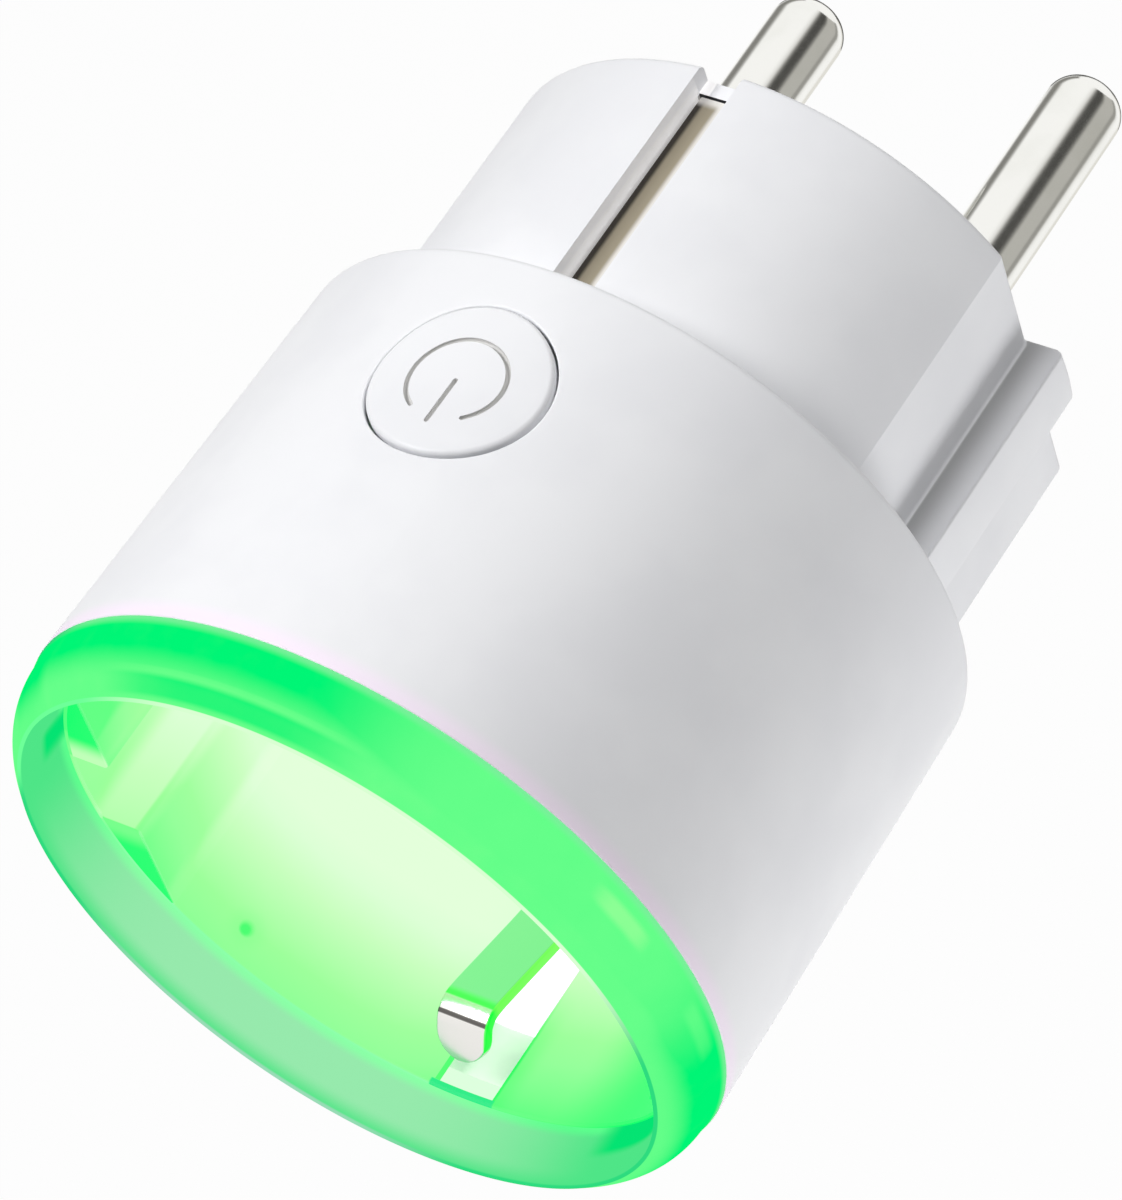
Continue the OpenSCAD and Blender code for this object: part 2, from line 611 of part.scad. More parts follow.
// Lamps and the flexible circuit that carries them, in the pocket behind the light ring
y_flex_front = y_seam + 1.7;
tail_angle = 160;
tail_half = 7;
tail_on_board = 2.5;
led_len = 1.2;
led_w = 1.8;
led_t = 0.5;
module led_flex() color("ivory") {
    middle_r = flex_in_r + flex_t / 2;
    tail_r = cup_out_r + 0.08;
    web_y = y_pocket - 0.3;
    difference() {
        rod(flex_out_r, y_flex_front, y_pocket - 0.2);
        rod(flex_in_r, y_flex_front - 1, y_pocket);
    }
    // The tail runs back between cup and housing and lies on the control board
    intersection() {
        turned() polygon([[middle_r, web_y - flex_t], [middle_r, web_y], [tail_r + flex_t, web_y],
            [tail_r + flex_t, y_ctrl_front], [control_board_r - tail_on_board, y_ctrl_front],
            [control_board_r - tail_on_board, y_ctrl_front - flex_t], [tail_r, y_ctrl_front - flex_t],
            [tail_r, web_y - flex_t]]);
        extrude_y(y_flex_front, y_ctrl_back) polygon([[0, 0],
            2 * flex_out_r * [cos(tail_angle - tail_half), sin(tail_angle - tail_half)],
            2 * flex_out_r * [cos(tail_angle + tail_half), sin(tail_angle + tail_half)]]);
    }
}
module led_chips() color("palegreen") for (i = [0 : led_count - 1])
    rotate([0, -360 / led_count * (i + 0.5), 0])
        block([flex_in_r - led_t, flex_in_r - 2 * e], [y_flex_front, y_flex_front + led_len],
            [-led_w / 2, led_w / 2]);

radio_w = 8.4;
radio_h = 7.9;
radio_x = relay_w / 2 + 1;               // its corner nearest to the relay
radio_z = 4.9;
radio_t = 0.8;
shield_t = 1.9;
shield_wall = 0.2;
shield_in = 0.6;                         // bare edge of the module round its shield
shield_top = 1.8;                        // bare end, where the aerial is
module radio_module() color("navy")
    block([radio_x, radio_x + radio_w], [y_ctrl_front - radio_t, y_ctrl_front],
        [radio_z, radio_z + radio_h]);
module radio_shield() color("silver") {
    y1 = y_ctrl_front - radio_t;
    x = [radio_x + shield_in, radio_x + radio_w - shield_in];
    z = [radio_z + shield_in - slip_gap, radio_z + radio_h - shield_top];
    difference() {
        block(x, [y1 - shield_t, y1], z);
        block(x + [shield_wall, -shield_wall], [y1 - shield_t + shield_wall, y1 + 1],
            z + [shield_wall, -shield_wall]);
    }
}
// A small chip with legs on two sides, lying on a board that faces -Y
module chip(w, h, t, legs) {
    block([-w / 2, w / 2], [-t, -0.1], [-h / 2, h / 2]);
    for (i = [0 : legs - 1], s = [1, -1])
        translate([(i - (legs - 1) / 2) * w / legs, -0.15, s * (h / 2 + 0.45)])
            cube([0.4, 0.3, 1], center = true);
}
module metering_chip() color("black") translate([-9.4, y_ctrl_front, -9.4]) chip(5, 3.8, 1.5, 4);
small_part_z = -14.4;                    // row of small parts at the board's lower edge
crystal_w = 3.2;
crystal_h = 1.8;
crystal_t = 0.8;
module crystal() color("silver") translate([-6, y_ctrl_front, small_part_z])
    block([-crystal_w / 2, crystal_w / 2], [-crystal_t, 0], [-crystal_h / 2, crystal_h / 2]);
module converter_chip() color("black") translate([0, y_main_back, 0]) rotate([180, 90, 0])
    chip(4.6, 3.6, 1.5, 4);
resistor_len = 1.6;
resistor_w = 0.9;
resistor_t = 0.5;
resistor_pitch = 2;
module resistor() block([-resistor_len / 2, resistor_len / 2], [-resistor_t, 0],
    [-resistor_w / 2, resistor_w / 2]);
module chip_resistors() color("black") {
    for (i = [0 : 2]) translate([-14.3, y_ctrl_front, -6.5 - i * resistor_pitch]) resistor();
    for (i = [0 : 2]) translate([6 + i * resistor_pitch, y_ctrl_front, small_part_z])
        rotate([0, 90, 0]) resistor();
    for (i = [0 : 1]) translate([15, y_ctrl_front, -5 - i * resistor_pitch]) resistor();
}

shunt_h = 3.2;
shunt_t = 0.8;
shunt_w = 2;
shunt_len = 7.6;
shunt_z = 4.7;
module shunt_resistor() color("peru") {
    x = [-relay_w / 2 - shunt_t - shunt_w, -relay_w / 2 - shunt_t];
    y = y_main_front - shunt_h;
    for (z = [shunt_z, shunt_z + shunt_len - shunt_t]) block(x, [y, y_main_front], [z, z + shunt_t]);
    block(x, [y, y + shunt_t], [shunt_z, shunt_z + shunt_len]);
}
wire_r = 0.35;                           // legs of the parts that stand on a board
varistor_r = 3.7;
varistor_h = 3.9;
varistor_lift = 0.5;
varistor_leg = 2;
module varistor() color("royalblue") at(-8.4, -9) {
    rod(varistor_r, y_main_front - varistor_h, y_main_front - varistor_lift);
    for (s = [-1, 1]) at(s * varistor_leg, 0) rod(wire_r, y_main_front - 1, y_main_front);
}
fuse_r = 1.8;
fuse_lift = 1.1;
tall_part_room = 2.4;                    // room between the tall parts and the plug face
module fuse() color("tan") at(-7.6, -8.8) {
    rod(fuse_r, y_main_back + fuse_lift, y_face_in - tall_part_room);
    rod(wire_r, y_main_back, y_main_back + fuse_lift);
}
film_w = 6.8;
film_t = 5.7;
module film_capacitor() color("gold") translate([5.2, 0, 5.5])
    block([0, film_w], [y_main_back, y_face_in - tall_part_room], [0, film_t]);
module bulk_capacitors() color("darkslateblue") for (s = [1, -1]) scale([1, 1, s])
    upright(bulk_r, y_main_back + bulk_r + slip_gap, 3.2, slot_floor_z - slot_floor_wall - 0.8);
inductor_at = [8.2, 8.4];
inductor_r = 3;
inductor_core_r = 1.6;
inductor_h = 5;
inductor_foot = 1.2;
inductor_top = 1.1;
module inductor() color("dimgray") at(inductor_at[0], inductor_at[1]) {
    rod(inductor_r, y_main_front - inductor_foot, y_main_front);
    rod(inductor_core_r, y_main_front - inductor_h, y_main_front);
    rod(inductor_r, y_main_front - inductor_h, y_main_front - inductor_h + inductor_top);
}
module inductor_winding() color("chocolate") at(inductor_at[0], inductor_at[1]) difference() {
    rod(inductor_r - run_gap, y_main_front - inductor_h + inductor_top, y_main_front - inductor_foot);
    rod(inductor_core_r + e, y_main_front - inductor_h - 1, y_main_front);
}

busbar_t = 0.5;
busbar_w = 3.2;
module busbar() color("peru") difference() {
    block([relay_w / 2 + 2 * slip_gap, pin_x + pin_tail_r + 0.9], [y_main_front - busbar_t, y_main_front],
        [-busbar_w / 2, busbar_w / 2]);
    at(pin_x, 0) rod(pin_tail_r + slip_gap, y_main_front - 2, y_main_front + 1);
}
module line_busbar() busbar();
module neutral_busbar() scale([-1, 1, 1]) busbar();

header_pitch = 2;
header_x = relay_w / 2 + 1.75;
header_z = [for (i = [0 : 3]) i * header_pitch - 10.6];
header_h = 2.2;
solder_out = 0.6;                        // how far a soldered leg stands out of its board
module board_header() color("goldenrod") {
    for (z = header_z) at(header_x, z) rod(wire_r, y_ctrl_front - solder_out, y_main_back + solder_out);
    for (z = header_z) block([header_x - header_pitch / 2, header_x + header_pitch / 2],
        [y_main_front - header_h, y_main_front], [z - header_pitch / 2 - e, z + header_pitch / 2 + e]);
}

module assembly_screws() color("silver") for (p = screw_at) at(p[0], p[1]) difference() {
    union() {
        rod(screw_head_r, y_floor + fit_gap, y_floor + screw_head_t);
        rod(screw_hold_r - fit_gap, y_floor + slip_gap, y_ctrl_back + screw_len);
    }
    rotate([0, 45, 0]) for (a = [0, 90]) rotate([0, a, 0])
        block([-1.3, 1.3], [y_floor - 1, y_floor + 0.5], [-0.25, 0.25]);
}

plug_body();
line_pin();
neutral_pin();
housing_sleeve();
socket_cup();
light_ring();
power_button();
upper_earth_strap();
lower_earth_strap();
earth_bridge();
safety_shutter();
shutter_spring();
shutter_retainer();
line_contact();
neutral_contact();
main_board();
control_board();
relay_base();
relay_cover();
relay_bobbin();
relay_winding();
relay_core();
relay_yoke();
relay_armature();
relay_moving_contact();
relay_fixed_contact();
relay_terminals();
switch_body();
switch_plunger();
led_flex();
led_chips();
radio_module();
radio_shield();
metering_chip();
crystal();
shunt_resistor();
varistor();
fuse();
film_capacitor();
bulk_capacitors();
inductor();
inductor_winding();
converter_chip();
chip_resistors();
line_busbar();
neutral_busbar();
board_header();
assembly_screws();
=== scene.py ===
"""Looks of a plug-in power meter: white housing, lit ring, recessed outlet, mains plug and push button.

Sizes are in millimetres and become metres where a mesh is made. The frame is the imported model's own:
the origin is the middle of the plug's face, +Y goes into the wall, +Z is up, the pins lie along X.
"""

import logging
import math
from dataclasses import dataclass
from enum import Enum
from typing import Optional, Sequence, Union

import bmesh
import bpy
from mathutils import Matrix, Vector


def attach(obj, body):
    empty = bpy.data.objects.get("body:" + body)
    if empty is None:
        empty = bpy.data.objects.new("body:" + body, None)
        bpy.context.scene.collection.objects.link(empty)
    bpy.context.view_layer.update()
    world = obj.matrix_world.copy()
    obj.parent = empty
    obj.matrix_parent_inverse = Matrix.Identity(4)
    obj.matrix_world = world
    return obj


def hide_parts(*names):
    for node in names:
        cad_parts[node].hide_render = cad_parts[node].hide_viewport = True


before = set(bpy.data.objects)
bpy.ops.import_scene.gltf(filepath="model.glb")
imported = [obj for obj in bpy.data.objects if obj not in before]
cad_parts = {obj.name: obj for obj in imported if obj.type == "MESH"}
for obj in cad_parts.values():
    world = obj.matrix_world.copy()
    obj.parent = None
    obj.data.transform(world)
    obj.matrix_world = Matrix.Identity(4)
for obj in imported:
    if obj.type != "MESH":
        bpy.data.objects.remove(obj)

LOG = logging.getLogger("power_meter")
MM = 0.001

Material, Node, Object, Socket = (bpy.types.Material, bpy.types.Node, bpy.types.Object,
                                  bpy.types.NodeSocket)
Number = Union[float, "Value"]
Point2 = tuple[float, float]
Point3 = tuple[float, float, float]
Colour = tuple[float, float, float]
Look = dict[str, object]

BLACK: Colour = (0.0, 0.0, 0.0)
WHITE: Colour = (1.0, 1.0, 1.0)


def tone(*parts: int) -> Colour:
    """Turns a colour as a screen shows it, from 0 to 255, into light from 0 to 1."""
    shares = (part / 255 for part in parts)
    return tuple(s / 12.92 if s <= 0.04045 else ((s + 0.055) / 1.055) ** 2.4 for s in shares)


# ---- Shader building ----

class Value:
    """A number that a shader works out, with the operators that the materials use."""

    def __init__(self, graph: "Graph", socket: Socket) -> None:
        """Wraps one output socket of a graph."""
        self.graph = graph
        self.socket = socket

    def _math(self, operation: str, *values: Number) -> "Value":
        """Adds one Math node."""
        return self.graph.value("Math", {"operation": operation}, *values)

    def __add__(self, other: Number) -> "Value":
        """Sum."""
        return self._math("ADD", self, other)

    __radd__ = __add__

    def __sub__(self, other: Number) -> "Value":
        """Difference."""
        return self._math("SUBTRACT", self, other)

    def __rsub__(self, other: Number) -> "Value":
        """Difference, with the number first."""
        return self._math("SUBTRACT", other, self)

    def __mul__(self, other: Number) -> "Value":
        """Product."""
        return self._math("MULTIPLY", self, other)

    __rmul__ = __mul__

    def __truediv__(self, other: Number) -> "Value":
        """Quotient."""
        return self._math("DIVIDE", self, other)

    def __rtruediv__(self, other: Number) -> "Value":
        """Quotient, with the number first."""
        return self._math("DIVIDE", other, self)

    def __pow__(self, other: Number) -> "Value":
        """Power."""
        return self._math("POWER", self, other)

    def __rpow__(self, other: Number) -> "Value":
        """Power, with the number first."""
        return self._math("POWER", other, self)

    def __abs__(self) -> "Value":
        """Size without sign."""
        return self._math("ABSOLUTE", self)

    def cosine(self) -> "Value":
        """Cosine of an angle in radians."""
        return self._math("COSINE", self)

    def below(self, other: Number) -> "Value":
        """The smaller of the two."""
        return self._math("MINIMUM", self, other)

    def above(self, other: Number) -> "Value":
        """The larger of the two."""
        return self._math("MAXIMUM", self, other)

    def ramp(self, low: float, high: float) -> "Value":
        """Goes smoothly from 0 at the first number to 1 at the second."""
        return self.graph.value("MapRange", {"interpolation_type": "SMOOTHSTEP"}, self, low, high, 0.0, 1.0)

    def fall(self, low: float, high: float) -> "Value":
        """Goes smoothly from 1 at the first number to 0 at the second."""
        return 1 - self.ramp(low, high)

    def band(self, low: float, high: float, edge: float) -> "Value":
        """Is 1 between two numbers and falls to 0 over a soft edge outside them."""
        return self.ramp(low - edge, low) * self.fall(high, high + edge)

    def lobe(self, centre: float, inner: float, outer: float) -> "Value":
        """Is 1 within the inner distance of an angle and 0 beyond the outer one, all in degrees."""
        off = ((self - centre) * math.radians(1)).cosine()
        return off.ramp(math.cos(math.radians(outer)), math.cos(math.radians(inner)))


class Graph:
    """The node tree of a material or of the world, and the few ways in which nodes are added to it."""

    MIX_FIRST, MIX_SECOND, MIX_RESULT = 6, 7, 2

    def __init__(self, owner: Union[Material, bpy.types.World], output: str = "Material") -> None:
        """Empties the tree of its owner and adds its output.

        Args:
            owner: The material or the world.
            output: Which of the two it is.
        """
        owner.use_nodes = True
        self.owner = owner
        self.tree = owner.node_tree
        self.tree.nodes.clear()
        self.output = self.node("Output" + output)

    def node(self, kind: str, settings: Optional[dict] = None, *inputs: object,
             **named: object) -> Node:
        """Adds any node.

        Args:
            kind: The node's type, without the ShaderNode prefix.
            settings: Its own settings, set before its sockets.
            inputs: Values or links for its sockets in order.
            named: Values or links for its sockets by name, with _ for a space.

        Returns:
            The new node.
        """
        made = self.tree.nodes.new("ShaderNode" + kind)
        for key, setting in (settings or {}).items():
            if key == "stops":
                self._set_stops(made, setting)
            else:
                setattr(made, key, setting)
        for place, value in (*enumerate(inputs), *named.items()):
            self._feed(made.inputs[place if isinstance(place, int) else place.replace("_", " ")], value)
        return made

    def value(self, kind: str, settings: Optional[dict], *inputs: object, **named: object) -> Value:
        """Adds any node, and takes its first output as a number."""
        return Value(self, self.node(kind, settings, *inputs, **named).outputs[0])

    @staticmethod
    def _set_stops(ramp: Node, stops: Sequence[tuple[float, Colour]]) -> None:
        """Writes the stops of a colour ramp.

        Args:
            ramp: The ramp's node.
            stops: Place and colour of each stop.
        """
        elements = ramp.color_ramp.elements
        while len(elements) < len(stops):
            elements.new(0.5)
        for element, (place, colour) in zip(elements, stops):
            element.position = place
            element.color = (*colour, 1.0)

    def _feed(self, socket: Socket, value: object) -> None:
        """Links or sets one input.

        Args:
            socket: The input.
            value: A Value, an output socket, a number or a tuple.
        """
        if isinstance(value, (Value, Socket)):
            self.tree.links.new(getattr(value, "socket", value), socket)
        elif socket.type == "RGBA":
            socket.default_value = (*value, 1.0)
        else:
            socket.default_value = value

    def place(self) -> Socket:
        """Position on the object, in metres, which moves with the piece."""
        return self.node("TexCoord").outputs["Object"]

    def axes(self) -> tuple[Value, ...]:
        """Position on the object, in millimetres, as three numbers."""
        split = self.node("SeparateXYZ", None, self.place())
        return tuple(Value(self, socket) / MM for socket in split.outputs)

    def turned(self, x: Value, z: Value) -> tuple[Value, Value]:
        """Distance from the Y axis, and the angle about it in degrees from +X towards +Z."""
        angle = self.value("Math", {"operation": "ARCTAN2"}, z, x)
        return (x * x + z * z) ** 0.5, angle * math.degrees(1)

    def noise(self, size: float, detail: float = 2.0) -> Value:
        """Cloudy noise around 0.5 fixed to the object, with clouds of a size in millimetres."""
        return self.value("TexNoise", None, self.place(), Scale=1 / (size * MM), Detail=detail)

    def marks(self, sizes: Point3) -> Value:
        """Noise drawn out into fine marks.

        Args:
            sizes: Size of one mark along each axis, in millimetres.

        Returns:
            A number around 0.5.
        """
        scale = tuple(1 / (size * MM) for size in sizes)
        stretched = self.node("VectorMath", {"operation": "MULTIPLY"}, self.place(), scale).outputs[0]
        return self.value("TexNoise", None, stretched, Scale=1.0, Detail=4.0)

    def mix(self, factor: Number, first: object, second: object) -> Socket:
        """Mixes two colours.

        Args:
            factor: 0 gives the first colour, 1 the second.
            first: A colour or a link.
            second: A colour or a link.

        Returns:
            The mixed colour.
        """
        made = self.node("Mix", {"data_type": "RGBA"}, factor)
        self._feed(made.inputs[self.MIX_FIRST], first)
        self._feed(made.inputs[self.MIX_SECOND], second)
        return made.outputs[self.MIX_RESULT]

    def ramp(self, factor: Value, stops: Sequence[tuple[float, Colour]]) -> Socket:
        """Turns a number from 0 to 1 into a colour, through stops of a place and a colour."""
        return self.node("ValToRGB", {"stops": stops}, factor).outputs[0]

    def relief(self, height: Value, depth: float, strength: float) -> Socket:
        """Makes a bumpy normal from a height, where 1 is a depth in millimetres."""
        return self.node("Bump", None, Strength=strength, Distance=depth * MM, Height=height).outputs[0]

    def finish(self, shader: Node) -> Union[Material, bpy.types.World]:
        """Links the shader to the output and hands out the finished owner."""
        self._feed(self.output.inputs["Surface"], shader.outputs[0])
        return self.owner


# ---- Mesh building ----

def circle(radius: float, sides: int) -> list[Point2]:
    """Points around a circle about the origin."""
    turns = (2 * math.pi * i / sides for i in range(sides))
    return [(radius * math.cos(t), radius * math.sin(t)) for t in turns]


def arc(centre: Point2, radius: float, start: float, end: float, steps: int) -> list[Point2]:
    """Points along a circular arc, in a number of steps between two angles in degrees."""
    turns = (math.radians(start + (end - start) * i / steps) for i in range(steps + 1))
    return [(centre[0] + radius * math.cos(t), centre[1] + radius * math.sin(t)) for t in turns]


def shrunk(outline: Sequence[Point2], radius: float, inset: float) -> list[Point2]:
    """An outline about the origin, drawn in evenly until its radius is smaller by the inset."""
    share = 1 - inset / radius
    return [(u * share, v * share) for u, v in outline]


def rounded(corners: Sequence[Point3], steps: int) -> list[Point2]:
    """Rounds the corners of a closed outline.

    Args:
        corners: Both coordinates and the rounding radius of each corner.
        steps: How many pieces each rounding has.

    Returns:
        The outline's points.
    """
    outline: list[Point2] = []
    for index, (u, v, radius) in enumerate(corners):
        here = Vector((u, v))
        before = Vector(corners[index - 1][:2]) - here
        after = Vector(corners[(index + 1) % len(corners)][:2]) - here
        half = before.angle(after) / 2
        if radius <= 0 or half > math.radians(89):
            outline.append((u, v))
            continue
        reach = min(radius / math.tan(half), before.length * 0.49, after.length * 0.49)
        true_radius = reach * math.tan(half)
        start, end = here + before.normalized() * reach, here + after.normalized() * reach
        inwards = (before.normalized() + after.normalized()).normalized()
        middle = here + inwards * (true_radius / math.sin(half))
        first, last = start - middle, end - middle
        sweep = first.angle_signed(last)
        for step in range(steps + 1):
            turned = first.copy()
            turned.rotate(Matrix.Rotation(-sweep * step / steps, 2))
            outline.append(tuple(middle + turned))
    return outline


def headings(line: Sequence[Vector]) -> list[Vector]:
    """Direction of a line at each of its points."""
    last = len(line) - 1
    return [(line[min(i + 1, last)] - line[max(i - 1, 0)]).normalized() for i in range(last + 1)]


class Solid:
    """A mesh under construction, in millimetres."""

    SEGMENTS = 288
    CAP_STEPS = 5

    def __init__(self) -> None:
        """Starts empty."""
        self.points: list[Point3] = []
        self.faces: list[tuple[int, ...]] = []

    def _bridge(self, one: Sequence[int], two: Sequence[int]) -> None:
        """Joins two closed rows with faces; beside a row of one point they are triangles.

        Args:
            one: Numbers of the first row's points.
            two: Numbers of the second row's points.
        """
        count = max(len(one), len(two))
        for i in range(count if count > 1 else 0):
            n = (i + 1) % count
            around = (one[i % len(one)], one[n % len(one)], two[n % len(two)], two[i % len(two)])
            self.faces.append(tuple(dict.fromkeys(around)))

    def rows(self, rows: Sequence[Sequence[Point3]], closed: bool = False) -> "Solid":
        """Skins rows of points, and closes the ends.

        Args:
            rows: Rows of equal length, or of a single point.
            closed: Whether the last row joins the first, as in a ring.

        Returns:
            This solid.
        """
        made: list[range] = []
        for row in rows:
            made.append(range(len(self.points), len(self.points) + len(row)))
            self.points.extend(row)
        for one, two in zip(made, made[1:] + (made[:1] if closed else [])):
            self._bridge(one, two)
        for row in () if closed else (made[0][::-1], made[-1]):
            if len(row) > 1:
                self.faces.append(tuple(row))
        return self

    @classmethod
    def lathe(cls, profile: Sequence[Point2]) -> "Solid":
        """Turns a closed outline about the Y axis.

        Args:
            profile: Radius and Y of each point.

        Returns:
            The solid.
        """
        rows: list[list[Point3]] = []
        for radius, y in profile:
            ring = [(x, y, z) for x, z in circle(radius, cls.SEGMENTS)]
            rows.append(ring if radius > 0 else [(0.0, y, 0.0)])
        return cls().rows(rows, closed=min(profile)[0] > 0)

    @classmethod
    def loft(cls, outlines: Sequence[tuple[float, Sequence[Point2]]]) -> "Solid":
        """Skins outlines that lie across the Y axis, each given as its Y and its points."""
        return cls().rows([[(x, y, z) for x, z in outline] for y, outline in outlines])

    @classmethod
    def box(cls, x: Point2, y: Point2, z: Point2) -> "Solid":
        """A block between the lowest and highest X, Y and Z."""
        section = [(x[0], z[0]), (x[1], z[0]), (x[1], z[1]), (x[0], z[1])]
        return cls.loft([(y[0], section), (y[1], section)])

    @classmethod
    def rod(cls, centre: Point2, profile: Sequence[Point2], sides: int) -> "Solid":
        """A round bar along Y about a centre, with a radius and a Y for each step."""
        return cls.loft([(y, [(centre[0] + u, centre[1] + v) for u, v in circle(r, sides)])
                         for r, y in profile])

    @classmethod
    def tube(cls, path: Sequence[Point3], radius: float, sides: int = 20) -> "Solid":
        """Sweeps a round section along a path, with rounded ends.

        Args:
            path: Points of the path.
            radius: Radius of the section.
            sides: How many sides the section has.

        Returns:
            The solid.
        """
        points = [Vector(p) for p in path]
        stations = [(point, along, radius) for point, along in zip(points, headings(points))]
        turns = [math.pi / 2 * i / cls.CAP_STEPS for i in range(cls.CAP_STEPS)]
        head, tail = ([(end + along * side * radius * math.cos(t), along, radius * max(math.sin(t), 0.05))
                       for t in turns] for side, (end, along, _) in ((-1, stations[0]), (1, stations[-1])))
        rows: list[list[Point3]] = []
        for centre, along, size in head + stations + tail[::-1]:
            across = along.cross(Vector((0, 0, 1))).normalized()
            over = across.cross(along)
            rows.append([tuple(centre + across * u + over * v) for u, v in circle(size, sides)])
        return cls().rows(rows)

    def build(self, name: str) -> Object:
        """Makes the object, in metres, with its faces pointing outwards.

        Args:
            name: The object's name.

        Returns:
            The object.
        """
        mesh = bpy.data.meshes.new(name)
        mesh.from_pydata([tuple(c * MM for c in p) for p in self.points], [], self.faces)
        shape = bmesh.new()
        shape.from_mesh(mesh)
        bmesh.ops.remove_doubles(shape, verts=shape.verts, dist=1e-7)
        bmesh.ops.recalc_face_normals(shape, faces=shape.faces)
        shape.to_mesh(mesh)
        shape.free()
        made = bpy.data.objects.new(name, mesh)
        bpy.context.scene.collection.objects.link(made)
        return made


def carve(target: Object, solids: Sequence[Solid], sharp: float) -> Object:
    """Cuts solids out of an object, if there are any, and shades it smoothly.

    Args:
        target: The object to change.
        solids: What is cut out.
        sharp: The angle in degrees from which an edge stays sharp.

    Returns:
        The object.
    """
    for solid in solids:
        tool = solid.build("cutter")
        cut = target.modifiers.new("cut", "BOOLEAN")
        cut.operation, cut.object, cut.solver = "DIFFERENCE", tool, "EXACT"
        graph = bpy.context.evaluated_depsgraph_get()
        fresh = bpy.data.meshes.new_from_object(target.evaluated_get(graph))
        target.modifiers.clear()
        old, target.data = target.data, fresh
        fresh.name = target.name
        spent = tool.data
        bpy.data.objects.remove(tool)
        for mesh in (old, spent):
            bpy.data.meshes.remove(mesh)
    target.data.shade_smooth()
    target.data.set_sharp_from_angle(angle=math.radians(sharp))
    return target


# ---- Shared sizes, in millimetres ----

@dataclass(frozen=True)
class Plan:
    """Sizes and places that several pieces share, as in the part's own source."""

    plug_r: float = 18.6
    y_shoulder: float = -18.0
    y_seam: float = -46.0
    y_rim: float = -46.2
    y_floor: float = -32.8
    y_floor_back: float = -31.2
    shell_rear_r: float = 21.65
    shell_front_r: float = 22.27
    shell_in_r: float = 20.7
    pin_x: float = 9.5
    button_y: float = -26.8
    button_r: float = 5.2
    button_rise: float = 0.2
    slot_w: float = 2.8

    def shell_r(self, y: float) -> float:
        """Outer radius of the housing at a place along the axis."""
        return self.shell_rear_r + (self.y_shoulder - y) * self.widening()

    def widening(self) -> float:
        """How much the housing's radius grows towards the front, in millimetres per millimetre."""
        return (self.shell_front_r - self.shell_rear_r) / (self.y_shoulder - self.y_seam)

    def shell_z(self, x: float, y: float, out: float = 0.0) -> float:
        """Height of the housing's top over a point, a little outside or inside its surface."""
        return math.sqrt(max((self.shell_r(y) + out) ** 2 - x * x, 0.0))


PLAN = Plan()


def over_button(rho: float, out: Optional[float] = None, inner: float = 0.0) -> list[Point3]:
    """A ring of points round the button's middle.

    Args:
        rho: Its radius in plan.
        out: How far outside the housing's surface it lies, or None.
        inner: With None, the radius of the cylinder inside the housing that it lies on.

    Returns:
        The points.
    """
    plan = [(u, PLAN.button_y + v) for u, v in circle(rho, 160)]
    if out is None:
        return [(x, y, math.sqrt(inner ** 2 - x * x)) for x, y in plan]
    return [(x, y, PLAN.shell_z(x, y, out)) for x, y in plan]


def eased(outline: Sequence[Point2], radius: float, y: float, bevel: float,
          step: int) -> list[tuple[float, list[Point2]]]:
    """Outlines that round off an edge.

    Args:
        outline: The full outline.
        radius: Its radius.
        y: Where the rounding ends.
        bevel: Radius of the rounding.
        step: Degrees between two outlines.

    Returns:
        Y and points of each outline.
    """
    turns = [math.radians(t) for t in range(0, 91, step)]
    return [(y - bevel + bevel * math.sin(t), shrunk(outline, radius, bevel * (1 - math.cos(t))))
            for t in turns]


def ribbed_outline(radius: float, flat: float, rib: float, rounds: Point3) -> list[Point2]:
    """A round outline with a flat in each quarter and a rib left between each pair of flats.

    Args:
        radius: Radius of the round parts.
        flat: Distance of the flats from the axis.
        rib: Half the width of the rib.
        rounds: Rounding of the rib's outer edges, of its feet, and of the flats' far ends.

    Returns:
        X and Z of the outline's points, anticlockwise.
    """
    top = math.sqrt(radius * radius - flat * flat)
    tip = math.sqrt(radius * radius - rib * rib)
    quarter = list(zip((tip, flat, flat), (rib, rib, top), rounds))
    start, lean = math.degrees(math.atan2(top, flat)), math.degrees(math.atan2(rib, tip))
    crown = [(x, z, 0.0) for x, z in arc((0, 0), radius, start, 180 - start, 72)[1:-1]]
    nose = [(x, z, 0.0) for x, z in arc((0, 0), radius, 180 - lean, 180 + lean, 12)[1:-1]]
    half = quarter + crown + [(-x, z, r) for x, z, r in reversed(quarter)] + nose
    return rounded(half + [(-x, -z, r) for x, z, r in half], 5)


# ---- Finishes ----

@dataclass(frozen=True)
class Finish:
    """A finish: the name of its material, and what its surface looks like."""

    name: str

    def look(self, g: Graph) -> Look:
        """What each socket of the surface's shader gets."""
        raise NotImplementedError

    def build(self) -> Material:
        """Makes the material."""
        g = Graph(bpy.data.materials.new(self.name))
        return g.finish(g.node("BsdfPrincipled", None, **self.look(g)))


